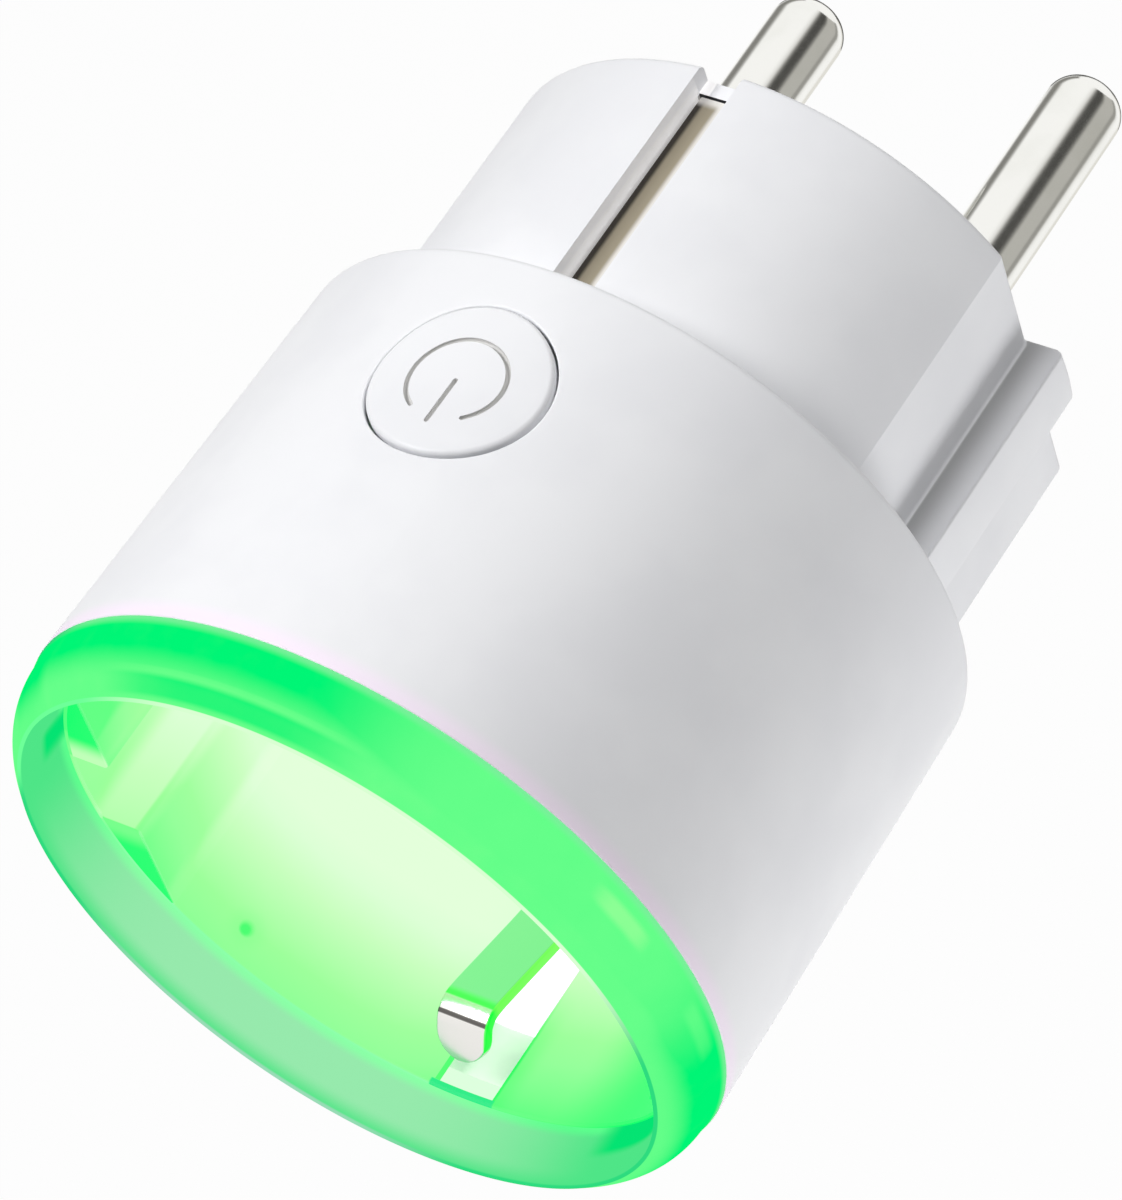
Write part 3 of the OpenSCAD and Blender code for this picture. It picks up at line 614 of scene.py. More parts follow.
@dataclass(frozen=True)
class WhitePlastic(Finish):
    """Satin white moulding, with a faint cloudiness and the fine texture of its mould."""

    colour: Colour = (0.90, 0.905, 0.925)
    shade: Colour = (0.86, 0.865, 0.89)
    blush: Colour = (0.97, 0.865, 0.985)
    blush_at: Point2 = (-45.8, -44.5)
    # Painted light: a glow on the shell's inner wall beside the lit ring and recess, greener near the front.
    glow: Colour = BLACK
    glow_deep: Colour = BLACK
    glow_r: float = 21.4
    glow_y: float = -33.0
    # With slots, the plug's earth slots get painted light and painted shade.
    slots: bool = False
    # With engraved, the sign's groove gets painted shade in the groove colour, darker with depth.
    engraved: bool = False
    groove: Colour = (0.64, 0.633, 0.62)
    # Painted shade for the gap at the end of each earth slot.
    crevice_shade: Colour = (0.03, 0.03, 0.035)
    # Painted shade for the ribs' side faces at their feet.
    foot: Colour = (0.25, 0.25, 0.25)
    # Painted light for the slots' walls and a painted highlight on their sills.
    slot_light: Colour = (1.0, 0.965, 0.935)
    rough: float = 0.5

    def look(self, g: Graph) -> Look:
        """White plastic, with a painted glow on the inside of the shell's wall where it has a glow.

        Args:
            g: The material's graph.

        Returns:
            What each socket gets.
        """
        x, y, z = g.axes()
        radius, _ = g.turned(x, z)
        cloud = g.noise(9.0, 3.0)
        body = g.mix(cloud.ramp(0.35, 0.65), self.colour, self.shade)
        body = g.mix(y.fall(*self.blush_at), body, self.blush)
        # Painted glow on the shell's inner surfaces towards the front.
        inside = radius.fall(self.glow_r, self.glow_r + 0.1) * y.fall(self.glow_y - 1, self.glow_y)
        lit = g.mix(inside, BLACK, g.mix(y.ramp(-40.5, -37.5), self.glow, self.glow_deep))
        if self.slots:
            body, lit = self._slots(g, (x, y, z), body, lit)
        if self.engraved:
            top = PLAN.shell_rear_r + PLAN.button_rise
            deep = top + (PLAN.y_shoulder - y) * PLAN.widening() - radius
            away = (x * x + (y - PLAN.button_y) ** 2) ** 0.5
            # Painted shade in the sign's groove, darker where it is deeper.
            body = g.mix(deep.ramp(0.03, 0.12) * away.fall(4.0, 4.2), body, self.groove)
        return {"Base_Color": body, "Roughness": self.rough + (cloud - 0.5) * 0.08,
                "Normal": g.relief(g.noise(0.22), 0.004, 0.5),
                "Emission_Color": lit, "Emission_Strength": 1.0}

    def _slots(self, g: Graph, place: Sequence[Value], body: object, lit: object) -> tuple[object, object]:
        """Paints light on the walls of the plug's earth slots and a highlight on their sills, and paints
        shade into their crevices and along the ribs' feet.

        Args:
            g: The graph of the material.
            place: Position on the object.
            body: The colour so far.
            lit: The emission so far.

        Returns:
            The new colour and emission.
        """
        x, y, z = place
        aside, height = abs(x), abs(z)
        slot = aside.fall(1.41, 1.44) * height.ramp(15.9, 16.1) * height.fall(18.45, 18.55)
        # Painted shade on the sill's end wall, in the gap behind the strap's end.
        crevice_shade = slot * y.band(-1.2, -0.94, 0.01) * height.fall(17.04, 17.08)
        body = g.mix(crevice_shade * 0.97, body, self.crevice_shade)
        # Painted shade on the ribs' side faces, darkest at their feet beside the flats.
        foot = height.fall(1.87, 1.95) * aside.fall(16.3, 18.5) * aside.ramp(16.0, 16.2)
        body = g.mix(foot * height.ramp(1.7, 1.84) * 0.75, body, self.foot)
        # Painted light on the slots' walls, stronger lower down, and a painted highlight on the sills.
        wall = slot * aside.ramp(1.38, 1.395) * y.fall(-1.1, -0.95) * y.ramp(-18.0, -16.0)
        sill = slot * y.ramp(-0.95, -0.93) * x.fall(-0.85, -0.75) * height.fall(17.12, 17.2)
        level = wall * (0.07 + height.fall(17.1, 18.1) * 0.22) + sill * 0.4
        return body, g.mix(level, lit, self.slot_light)


@dataclass(frozen=True)
class Nickel(Finish):
    """Bright plated metal with fine turning or rolling marks."""

    name: str = "nickel"
    colour: Colour = (0.905, 0.9, 0.864)
    dull: Colour = (0.86, 0.858, 0.815)
    rough: float = 0.12
    marks: Point3 = (6.0, 0.35, 6.0)

    def look(self, g: Graph) -> Look:
        """Plated metal, cloudy and marked.

        Args:
            g: The material's graph.

        Returns:
            What each socket gets.
        """
        marks, cloud = g.marks(self.marks), g.noise(3.5, 3.0)
        return {"Base_Color": g.mix(cloud.ramp(0.42, 0.72), self.colour, self.dull), "Metallic": 1.0,
                "Roughness": self.rough + (marks - 0.5) * 0.06 + cloud.ramp(0.45, 0.8) * 0.04,
                "Normal": g.relief(marks, 0.0015, 0.6)}


@dataclass(frozen=True)
class LitRing(Finish):
    """Clear green-lit plastic: deep near the seam, paler towards the lip, with lamps behind one side."""

    name: str = "lit_ring"
    body: Colour = (0.0, 0.02, 0.005)
    deep: Colour = tone(0, 243, 116)
    pale: Colour = tone(102, 253, 137)
    bright: Colour = tone(150, 254, 152)
    flare: Colour = tone(218, 255, 210)
    seam: Colour = tone(122, 238, 154)
    seam_dark: Colour = tone(52, 198, 126)
    lip: Colour = tone(46, 217, 126)
    lip_low: Colour = tone(153, 217, 182)
    lip_high: Colour = tone(110, 254, 152)
    wall_side: Colour = tone(79, 226, 134)
    wall_middle: Colour = tone(151, 231, 172)
    wall_deep: Colour = tone(139, 252, 166)
    wall_deep_side: Colour = tone(92, 250, 140)
    pocket: Colour = tone(4, 224, 113)
    tongue: Colour = tone(222, 253, 222)
    rough: float = 0.38
    arc_y: float = -46.8
    arc_r: float = 4.2
    spots: tuple[Point3, ...] = ((26.0, 0.13, 0.2), (1.0, 0.1, 0.2))

    def look(self, g: Graph) -> Look:
        """Green light over the round front, then the seam, the lip, the inner wall and the tongue.

        Args:
            g: The material's graph.

        Returns:
            What each socket gets.
        """
        x, y, z = g.axes()
        radius, turn = g.turned(x, z)
        front = (self.arc_y - y) / self.arc_r
        late = turn.lobe(-30, 30, 42).above(turn.lobe(142, 3, 9))
        level = front.ramp(0.2, 0.65) * 0.5 * (1 - late) + front.ramp(0.4, 0.78) * 0.46 * late
        level = level.above(turn.lobe(37, 16, 43) * 0.48)
        for angle, place, gain in self.spots:
            level = level + turn.lobe(angle, 1.5, 7.0) * front.band(place - 0.05, place + 0.05, 0.12) * gain
        crown = turn.lobe(92, 6, 26)
        level = level + crown * front.band(0.485, 0.515, 0.035) * 0.12
        level = level - crown * front.band(0.59, 0.73, 0.06) * 0.42
        level = level + (g.noise(1.8, 3.0) - 0.5) * 0.08
        colour = g.ramp(level, ((0.0, self.deep), (0.5, self.pale), (0.75, self.bright), (1.0, self.flare)))
        seam = g.mix(turn.lobe(152, 8, 28), self.seam, self.seam_dark)
        edge = (self.arc_y - y).fall(-0.75, -0.25) * turn.lobe(55, 88, 98) * 0.95
        colour = g.mix(edge, colour, seam)
        lip = g.mix(turn.lobe(-124, 10, 42), self.lip, self.lip_low)
        lip = g.mix(turn.lobe(128, 30, 42), lip, self.lip_high)
        lip = g.mix(turn.lobe(62, 34, 62), lip, self.flare)
        colour = g.mix(front.ramp(0.797, 0.805), colour, lip)
        sides = turn.lobe(-122, 15, 70)
        wall = g.mix(sides * y.ramp(-50.4, -49.0), self.wall_side, self.wall_middle)
        deep = g.mix(turn.lobe(-125, 22, 60), self.wall_deep_side, self.wall_deep)
        wall = g.mix(y.ramp(-47.0, -46.3), wall, deep)
        wall = g.mix(y.fall(-50.2, -50.05), wall, lip)
        pockets = turn.lobe(-45, 6, 14).above(turn.lobe(161, 1, 6)) * y.ramp(-48.5, -47.8)
        wall = g.mix(pockets, wall, self.pocket)
        colour = g.mix(radius.ramp(20.19, 20.23), wall, colour)
        colour = g.mix(y.ramp(-45.98, -45.95) * radius.fall(21.2, 21.3), colour, self.tongue)
        return {"Base_Color": self.body, "Roughness": self.rough, "Specular_IOR_Level": 0.0,
                "Normal": g.relief(g.noise(0.35), 0.004, 0.4), "Emission_Color": colour,
                "Emission_Strength": 1.0}


@dataclass(frozen=True)
class LitCup(Finish):
    """Milky plastic of the recess, lit through its walls: nearly white deep inside, green at the rim."""

    name: str = "lit_cup"
    body: Colour = (0.03, 0.05, 0.03)
    stops: tuple[tuple[float, Colour], ...] = (
        (0.0, tone(80, 254, 120)), (0.28, tone(141, 253, 147)), (0.42, tone(153, 253, 151)),
        (0.71, tone(198, 253, 188)), (0.88, tone(218, 253, 211)), (1.0, tone(225, 254, 216)))
    rim: Colour = tone(134, 252, 164)
    # A saturated green, also used as painted shade on the pads' fronts and round the dimples.
    deep: Colour = tone(0, 248, 104)
    # Painted light for the pads' fronts beside the groove.
    corner: Colour = tone(112, 253, 132)
    corner_top: Colour = tone(190, 254, 180)
    slot_edge: Colour = tone(0, 244, 92)
    slot_foot: Colour = tone(0, 228, 128)
    slot_side: Colour = tone(66, 252, 104)
    # Painted shade in the dimples' hollows.
    dimple: Colour = tone(56, 246, 104)
    dimple_at: Point2 = (43.5, -44.2)
    wall_r: float = 19.75
    rough: float = 0.42
    gloss: float = 0.14

    def look(self, g: Graph) -> Look:
        """Light that grows with depth, then the lower slot, painted shade in the dimples, and the front edge
        with painted light and shade on the pads' fronts.

        Args:
            g: The material's graph.

        Returns:
            What each socket gets.
        """
        x, y, z = g.axes()
        radius, turn = g.turned(x, z)
        deep = ((y + 46.0) / 10).above(0.0).below(1.0)
        wall = radius.ramp(11.0, 16.8)
        level = deep * 0.72 + turn.lobe(-128, 18, 46).above(turn.lobe(-152, 22, 50)) * wall * 0.24
        level = level + turn.lobe(-112, 16, 56) * wall * 0.04
        side, across = abs(z), abs(x)
        pad = x.fall(-16.97, -16.90) * side.band(4.2, 8.0, 1.3) * 0.13
        pad = pad - x.fall(-16.97, -16.90) * z.band(3.9, 5.2, 0.9) * 0.18
        groove = x.fall(-17.4, -17.1) * side.fall(2.95, 3.05)
        floor = deep * 0.4 + 0.32 + z.fall(-2.9, -1.0) * 0.25
        level = (level - pad) * (1 - groove) + floor * groove
        level = level + (g.noise(3.0) - 0.5) * 0.03
        colour = g.ramp(level, self.stops)
        low = z.fall(-16.0, -15.0)
        beside = (x - 2).above(0.0)
        halo = beside.fall(0.0, 1.7) * 0.35 + beside.fall(0.1, 0.25) * 0.6
        halo = halo * low * y.fall(-43.0, -37.0) * x.ramp(1.9, 2.0)
        colour = g.mix(halo, colour, self.slot_edge)
        colour = g.mix(turn.lobe(-30, 18, 42) * wall, colour, self.deep)
        at, dimple_y = self.dimple_at
        ring = (1 - ((turn - at) * (4 * math.radians(1))).cosine()) * (self.wall_r ** 2 / 8)
        away = (ring + (y - dimple_y) ** 2) ** 0.5
        # Painted shade in the dimple, and a soft painted shade round it.
        colour = g.mix(away.fall(0.2, 0.62) * 0.9, colour, self.dimple)
        colour = g.mix(away.fall(0.4, 1.6) * 0.12, colour, self.deep)
        # The pads' fronts: painted light beside the groove, painted shade further out.
        near = g.mix(z.ramp(-1.0, 1.0), self.corner, self.corner_top)
        face = g.mix(side.ramp(3.3, 5.2), near, self.deep)
        outer = radius.ramp(19.72, 19.76)
        face = g.mix(outer, face, self.rim)
        front = y.fall(-46.18, -46.08) * (1 - outer * (1 - turn.lobe(-128, 30, 50)))
        colour = g.mix(front, colour, face)
        foot = low * across.band(-1.0, 2.1, 0.15) * y.fall(-45.84, -45.77)
        colour = g.mix(foot, colour, self.slot_foot)
        cut = low * across.band(-1.0, 2.03, 0.02) * radius.ramp(19.78, 19.84) * y.ramp(-45.84, -45.77)
        return {"Base_Color": self.body, "Roughness": self.rough, "Specular_IOR_Level": self.gloss,
                "Normal": g.relief(g.noise(0.35), 0.004, 0.4),
                "Emission_Color": g.mix(cut, colour, self.slot_side), "Emission_Strength": 1.0}


@dataclass(frozen=True)
class StrapMetal(Finish):
    """Sprung metal of the earth straps: bright in the recess, with painted reflections of its green light;
    dull and darker in the plug's slots, with painted shade and light.
    """

    name: str = "earth_metal"
    colour: Colour = (0.84, 0.82, 0.79)
    # Brownish tone of the strap in the plug's slots, partly the metal's own and partly painted shade.
    dull: Colour = (0.36, 0.32, 0.24)
    # Darkest tone: painted shade in the plug's slots, a painted dark reflection at the bend, and the base
    # under the painted reflections in the recess.
    painted_dark: Colour = (0.05, 0.045, 0.04)
    # These three greens are painted reflections of the lit recess, on the strap's edge, along the fold and
    # over the flat.
    side: Colour = tone(104, 255, 74)
    bright_green_reflection: Colour = tone(0, 250, 52)
    flat_green_reflection: Colour = tone(112, 230, 134)
    rough: float = 0.24
    marks: Point3 = (0.35, 6.0, 6.0)

    def look(self, g: Graph) -> Look:
        """Metal with painted reflections of the lit recess, and painted shade and light in the plug's slots.

        Args:
            g: The material's graph.

        Returns:
            What each socket gets.
        """
        x, y, _ = g.axes()
        marks = g.marks(self.marks)
        plug = y.ramp(-24.0, -21.0)
        # In the plug's slots: painted shade along the left wall, painted light towards the right side and the
        # slot's end.
        slot_shade_and_light = g.mix(x.fall(-0.9, -0.58) * 0.96, self.dull, self.painted_dark)
        slot_shade_and_light = g.mix(x.ramp(0.0, 0.4) * 0.9, slot_shade_and_light, self.colour)
        slot_shade_and_light = g.mix(y.ramp(-1.9, -1.35) * 0.9, slot_shade_and_light, self.colour)
        body = g.mix(plug, self.colour, slot_shade_and_light)
        # A painted dark reflection across the bend behind the tip.
        body = g.mix(y.band(-43.90, -43.74, 0.06) * 0.9, body, self.painted_dark)
        # In the recess the strap's edge and flat get painted reflections of the green light, over a dark
        # base.
        recess = y.fall(-34.0, -33.0)
        edge = x.ramp(1.56, 1.62) * recess
        flat = y.ramp(-42.95, -42.8) * recess
        body = g.mix(edge.above(flat) * 0.92, body, self.painted_dark)
        lit = g.mix(edge, BLACK, g.mix(y.ramp(-43.1, -42.5), self.bright_green_reflection, self.side))
        fold_and_flat_reflection = g.mix(y.ramp(-42.7, -42.1), self.bright_green_reflection, self.flat_green_reflection)
        return {"Base_Color": body, "Metallic": 1.0, "Normal": g.relief(marks, 0.0015, 0.6),
                "Roughness": self.rough + flat * 0.25 + plug * 0.2 + (marks - 0.5) * 0.1,
                "Emission_Color": g.mix(flat * (1 - edge), lit, fold_and_flat_reflection), "Emission_Strength": 1.0}


@dataclass(frozen=True)
class Plain(Finish):
    """Any of the inner parts' finishes: two tones in clouds, and a fine texture."""

    colour: Colour
    shade: Colour
    rough: float = 0.5
    metal: float = 0.0
    cloud: float = 1.5
    glow: Colour = BLACK

    def look(self, g: Graph) -> Look:
        """Two tones in clouds.

        Args:
            g: The material's graph.

        Returns:
            What each socket gets.
        """
        cloud = g.noise(self.cloud, 3.0)
        return {"Base_Color": g.mix(cloud.ramp(0.35, 0.68), self.colour, self.shade), "Metallic": self.metal,
                "Roughness": self.rough + (cloud - 0.5) * 0.12, "Emission_Color": self.glow,
                "Normal": g.relief(g.noise(0.2), 0.006, 0.5), "Emission_Strength": 1.0}


@dataclass(frozen=True)
class Wound(Finish):
    """Enamelled copper wire, seen as close turns along one axis."""

    colour: Colour = (0.62, 0.22, 0.07)
    # Painted shade between the turns.
    groove: Colour = (0.16, 0.05, 0.02)
    pitch: float = 0.16
    along_z: bool = True

    def look(self, g: Graph) -> Look:
        """Copper turns with painted shade in the grooves between them.

        Args:
            g: The material's graph.

        Returns:
            What each socket gets.
        """
        _, y, z = g.axes()
        turns = ((z if self.along_z else y) * (2 * math.pi / self.pitch)).cosine() * 0.5 + 0.5
        return {"Base_Color": g.mix(turns.ramp(0.05, 0.6), self.groove, self.colour), "Metallic": 0.7,
                "Roughness": 0.32, "Normal": g.relief(turns, 0.05, 0.8)}


@dataclass(frozen=True)
class Board(Finish):
    """Green circuit board with copper tracks under its lacquer and its glass weave."""

    name: str = "board_green"
    lacquer: Colour = (0.012, 0.12, 0.045)
    track: Colour = (0.035, 0.24, 0.085)
    cell: float = 2.2

    def look(self, g: Graph) -> Look:
        """Tracks round cells, and the weave in the roughness.

        Args:
            g: The material's graph.

        Returns:
            What each socket gets.
        """
        edges = g.value("TexVoronoi", {"feature": "DISTANCE_TO_EDGE"}, g.place(), Scale=1 / (self.cell * MM))
        lines = edges.ramp(0.03, 0.08)
        return {"Base_Color": g.mix(lines, self.track, self.lacquer),
                "Roughness": 0.3 + g.noise(0.25, 1.0) * 0.1, "Normal": g.relief(lines, 0.03, 0.5)}


# ---- Sub-assemblies ----

NO_BLUSH: Point2 = (-61.0, -60.0)


def dress(made: Object, material: Material, body: str, slot: str, *nodes: str) -> None:
    """Gives a new piece its material, its body and the nodes that it stands for.

    Args:
        made: The piece.
        material: Its material.
        body: The body it rides on.
        slot: The material slot of the record; not used.
        nodes: The CAD nodes it replaces.
    """
    made.data.materials.clear()
    made.data.materials.append(material)
    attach(made, body)
    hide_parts(*nodes)
    LOG.info("%s: %d faces, stands for %s", made.name, len(made.data.polygons), ", ".join(nodes))


@dataclass
class Housing:
    """The white shell with the round hole for the button."""

    shoulder_round: float = 0.5
    front_round: float = 0.1
    chamfer: float = 0.12
    wall_step: float = 1.75
    wall_ends: float = 0.6
    pocket_r: float = 21.35
    pocket_y: float = -40.2
    rear_hole_r: float = 18.65
    shoulder_t: float = 1.5
    hole_gap: float = 0.15
    hole_round: float = 0.14
    hole_foot: float = 14.0

    def profile(self) -> list[Point2]:
        """Outlines the shell.

        Returns:
            Radius and Y of its points.
        """
        p, r, f = PLAN, self.shoulder_round, self.front_round
        edge, inner_y = self.rear_hole_r, p.y_shoulder - self.shoulder_t
        outline = [(edge, p.y_shoulder - self.chamfer), (edge + self.chamfer, p.y_shoulder)]
        outline += arc((p.shell_rear_r - r, p.y_shoulder - r), r, 90, 0, 10)
        y = p.y_shoulder - r - self.wall_ends
        while y > p.y_seam + self.wall_ends:
            outline.append((p.shell_r(y), y))
            y -= self.wall_step
        outline += arc((p.shell_front_r - f, p.y_seam + f), f, 0, -90, 4)
        return outline + [(self.pocket_r, p.y_seam), (self.pocket_r, self.pocket_y),
                          (p.shell_in_r, self.pocket_y), (p.shell_in_r, inner_y), (edge, inner_y)]

    def hole(self) -> Solid:
        """Makes the cutter of the button's hole, whose rounded edge follows the shell.

        Returns:
            The cutter.
        """
        radius, edge, overlap = PLAN.button_r + self.hole_gap, self.hole_round, 0.002
        rows = [[(x, y, self.hole_foot) for x, y, _ in over_button(radius, 0.0)], over_button(radius, -edge)]
        for step in range(1, 6):
            turn = math.radians(90 * step / 5)
            out = edge * math.sin(turn) - edge + (overlap if step == 5 else 0.0)
            rows.append(over_button(radius + edge * (1 - math.cos(turn)), out))
        return Solid().rows(rows + [over_button(radius + edge + 0.02, 1.5)])

    def build(self) -> None:
        """Makes the shell."""
        shell = carve(Solid.lathe(self.profile()).build("housing_shell"), [self.hole()], 24)
        # The shell's inner wall gets a painted glow, green-white near the front and white further back.
        finish = WhitePlastic("housing_white_plastic", glow=tone(224, 254, 226),
                              glow_deep=tone(250, 255, 250))
        dress(shell, finish.build(), "body", "housing_white", "housing_sleeve")


@dataclass
class Button:
    """The push button: a cap that follows the shell, with the engraved sign."""

    edge: float = 0.28
    rim_over: float = 0.75
    rim_top_r: float = 20.55
    rim_low_r: float = 19.8
    sign_r: float = 2.8
    sign_wire: float = 0.17
    sign_sink: float = 0.08
    sign_half_gap: float = 35.0
    sign_turn: float = 3.0
    sign_shift: float = 0.1
    sign_over: float = 0.25
    bar_from: float = 0.12

    def cap(self) -> Solid:
        """Makes the cap with its rim below the shell.

        Returns:
            The cap.
        """
        radius, over, rise = PLAN.button_r, PLAN.button_r + self.rim_over, PLAN.button_rise
        rows = [[(0.0, PLAN.button_y, self.rim_low_r)]]
        rows += [over_button(over * share, None, self.rim_low_r) for share in (0.25, 0.5, 0.75, 1.0)]
        rows += [over_button(reach, None, self.rim_top_r) for reach in (over, radius)]
        for turn in (math.radians(90 * step / 8) for step in range(9)):
            rows.append(over_button(radius - self.edge * (1 - math.cos(turn)),
                                    rise - self.edge * (1 - math.sin(turn))))
        rows += [over_button((radius - self.edge) * (1 - i / 16), rise) for i in range(1, 16)]
        return Solid().rows(rows + [[(0.0, PLAN.button_y, PLAN.shell_z(0, PLAN.button_y, rise))]])

    def sign(self) -> list[Solid]:
        """Makes the cutters of the engraved sign.

        Returns:
            The arc and the bar.
        """
        start, middle = self.sign_half_gap + self.sign_turn, PLAN.button_y - self.sign_shift
        turns = [math.radians(start + (360 - 2 * self.sign_half_gap) * i / 80) for i in range(81)]
        ring = [(self.sign_r * math.sin(t), middle - self.sign_r * math.cos(t)) for t in turns]
        length = self.sign_r + self.sign_over - self.bar_from
        bar = [(0.0, middle - self.bar_from - length * i / 12) for i in range(13)]
        return [Solid.tube([(x, y, PLAN.shell_z(x, y, PLAN.button_rise - self.sign_sink)) for x, y in line],
                           self.sign_wire) for line in (ring, bar)]

    def build(self) -> None:
        """Makes the button."""
        cap = carve(self.cap().build("button_cap"), self.sign(), 30)
        finish = WhitePlastic("button_white_plastic", blush_at=NO_BLUSH, rough=0.45, engraved=True)
        dress(cap, finish.build(), "button", "button_white", "power_button")


@dataclass
class Plug:
    """The plug body with its flats, ribs and earth slots, and its two pins."""

    body_rows: tuple[float, ...] = (-18.0, -14.0, -10.0, -6.0, -2.0)
    flat_x: float = 16.15
    rib: float = 1.85
    rounds: Point3 = (0.22, 0.3, 0.1)
    bevel: float = 0.5
    flange_y: float = -19.5
    flange_front: float = -21.0
    flange_r: float = 20.65
    wall: float = 1.6
    face_t: float = 2.0
    slot_floor: float = 16.2
    slot_wall: float = 1.2
    slot_out: float = 24.0
    sill: float = 0.95
    sill_z: float = 17.08
    pin_rows: tuple[float, ...] = (4.0, 8.0, 12.0, 16.0)
    pin_r: float = 2.4
    pin_reach: float = 19.5
    tip_round: float = 1.9
    shank_r: float = 2.0
    shank_gap: float = 0.05
    grip: float = 8.0
    collar_r: float = 3.3
    collar_t: float = 1.2
    tail: Point2 = (1.2, -12.6)

    def cavity(self) -> list[Point2]:
        """Outlines the hollow inside, which leaves a wall round the earth slots.

        Returns:
            X and Z of its points.
        """
        inner_r, inner_x = PLAN.plug_r - self.wall, self.flat_x - self.wall
        top = math.degrees(math.atan2(math.sqrt(inner_r ** 2 - inner_x ** 2), inner_x))
        side, floor = PLAN.slot_w / 2 + self.slot_wall, self.slot_floor - self.slot_wall
        edge = math.degrees(math.acos(side / inner_r))
        upper = arc((0, 0), inner_r, top, edge, 16) + [(side, floor), (-side, floor)]
        upper += arc((0, 0), inner_r, 180 - edge, 180 - top, 16)
        return upper + [(-x, -z) for x, z in upper]

    def body(self) -> Object:
        """Makes the plug body.

        Returns:
            The object.
        """
        full = ribbed_outline(PLAN.plug_r, self.flat_x, self.rib, self.rounds)
        flange = [(x * self.flange_r / math.hypot(x, z), z * self.flange_r / math.hypot(x, z))
                  for x, z in full]
        rows = [(self.flange_front, flange), (self.flange_y, flange), (self.flange_y, full)]
        rows += [(y, full) for y in self.body_rows]
        made = Solid.loft(rows + eased(full, PLAN.plug_r, 0.0, self.bevel, 15)).build("plug_shell")
        half, front = PLAN.slot_w / 2, self.flange_front - 1
        cavity = self.cavity()
        cuts = [Solid.loft([(front, cavity), (-self.face_t, cavity)])]
        high, overlap = self.slot_out, 0.01
        spans = ((self.slot_floor, front, -self.sill), (self.sill_z, -self.sill - overlap, 0.5))
        for turn in (1, -1):
            for low, start, end in spans:
                section = [(x, z * turn) for x, z in ((-half, low), (half, low), (half, high), (-half, high))]
                cuts.append(Solid.loft([(start, section), (end, section)]))
            bore = self.shank_r + self.shank_gap
            cuts.append(Solid.rod((turn * PLAN.pin_x, 0), [(bore, -self.grip - 1), (bore, 1)], 48))
        return carve(made, cuts, 24)

    def pin(self, side: int) -> Object:
        """Makes one pin.

        Args:
            side: 1 or -1, the side of the axis.

        Returns:
            The object.
        """
        seat, neck = -self.grip, -self.grip - self.collar_t
        profile = [self.tail, (self.tail[0], neck), (self.collar_r, neck), (self.collar_r, seat),
                   (self.shank_r, seat), (self.shank_r, 0.0), (self.pin_r - 0.1, 0.0), (self.pin_r, 0.1)]
        profile += [(self.pin_r, y) for y in self.pin_rows]
        tip = self.tip_round
        profile += arc((self.pin_r - tip, self.pin_reach - tip), tip, 0, 90, 16)
        name = "pin_line" if side > 0 else "pin_neutral"
        return carve(Solid.rod((side * PLAN.pin_x, 0), profile, 128).build(name), (), 35)

    def build(self) -> None:
        """Makes the plug and its pins."""
        # The plug's plastic gets painted light and shade in the earth slots and along the ribs' feet.
        finish = WhitePlastic("plug_white_plastic", blush_at=NO_BLUSH, slots=True)
        dress(self.body(), finish.build(), "body", "housing_white", "plug_body")
        metal = Nickel().build()
        dress(self.pin(1), metal, "body", "nickel", "line_pin")
        dress(self.pin(-1), metal, "body", "nickel", "neutral_pin")


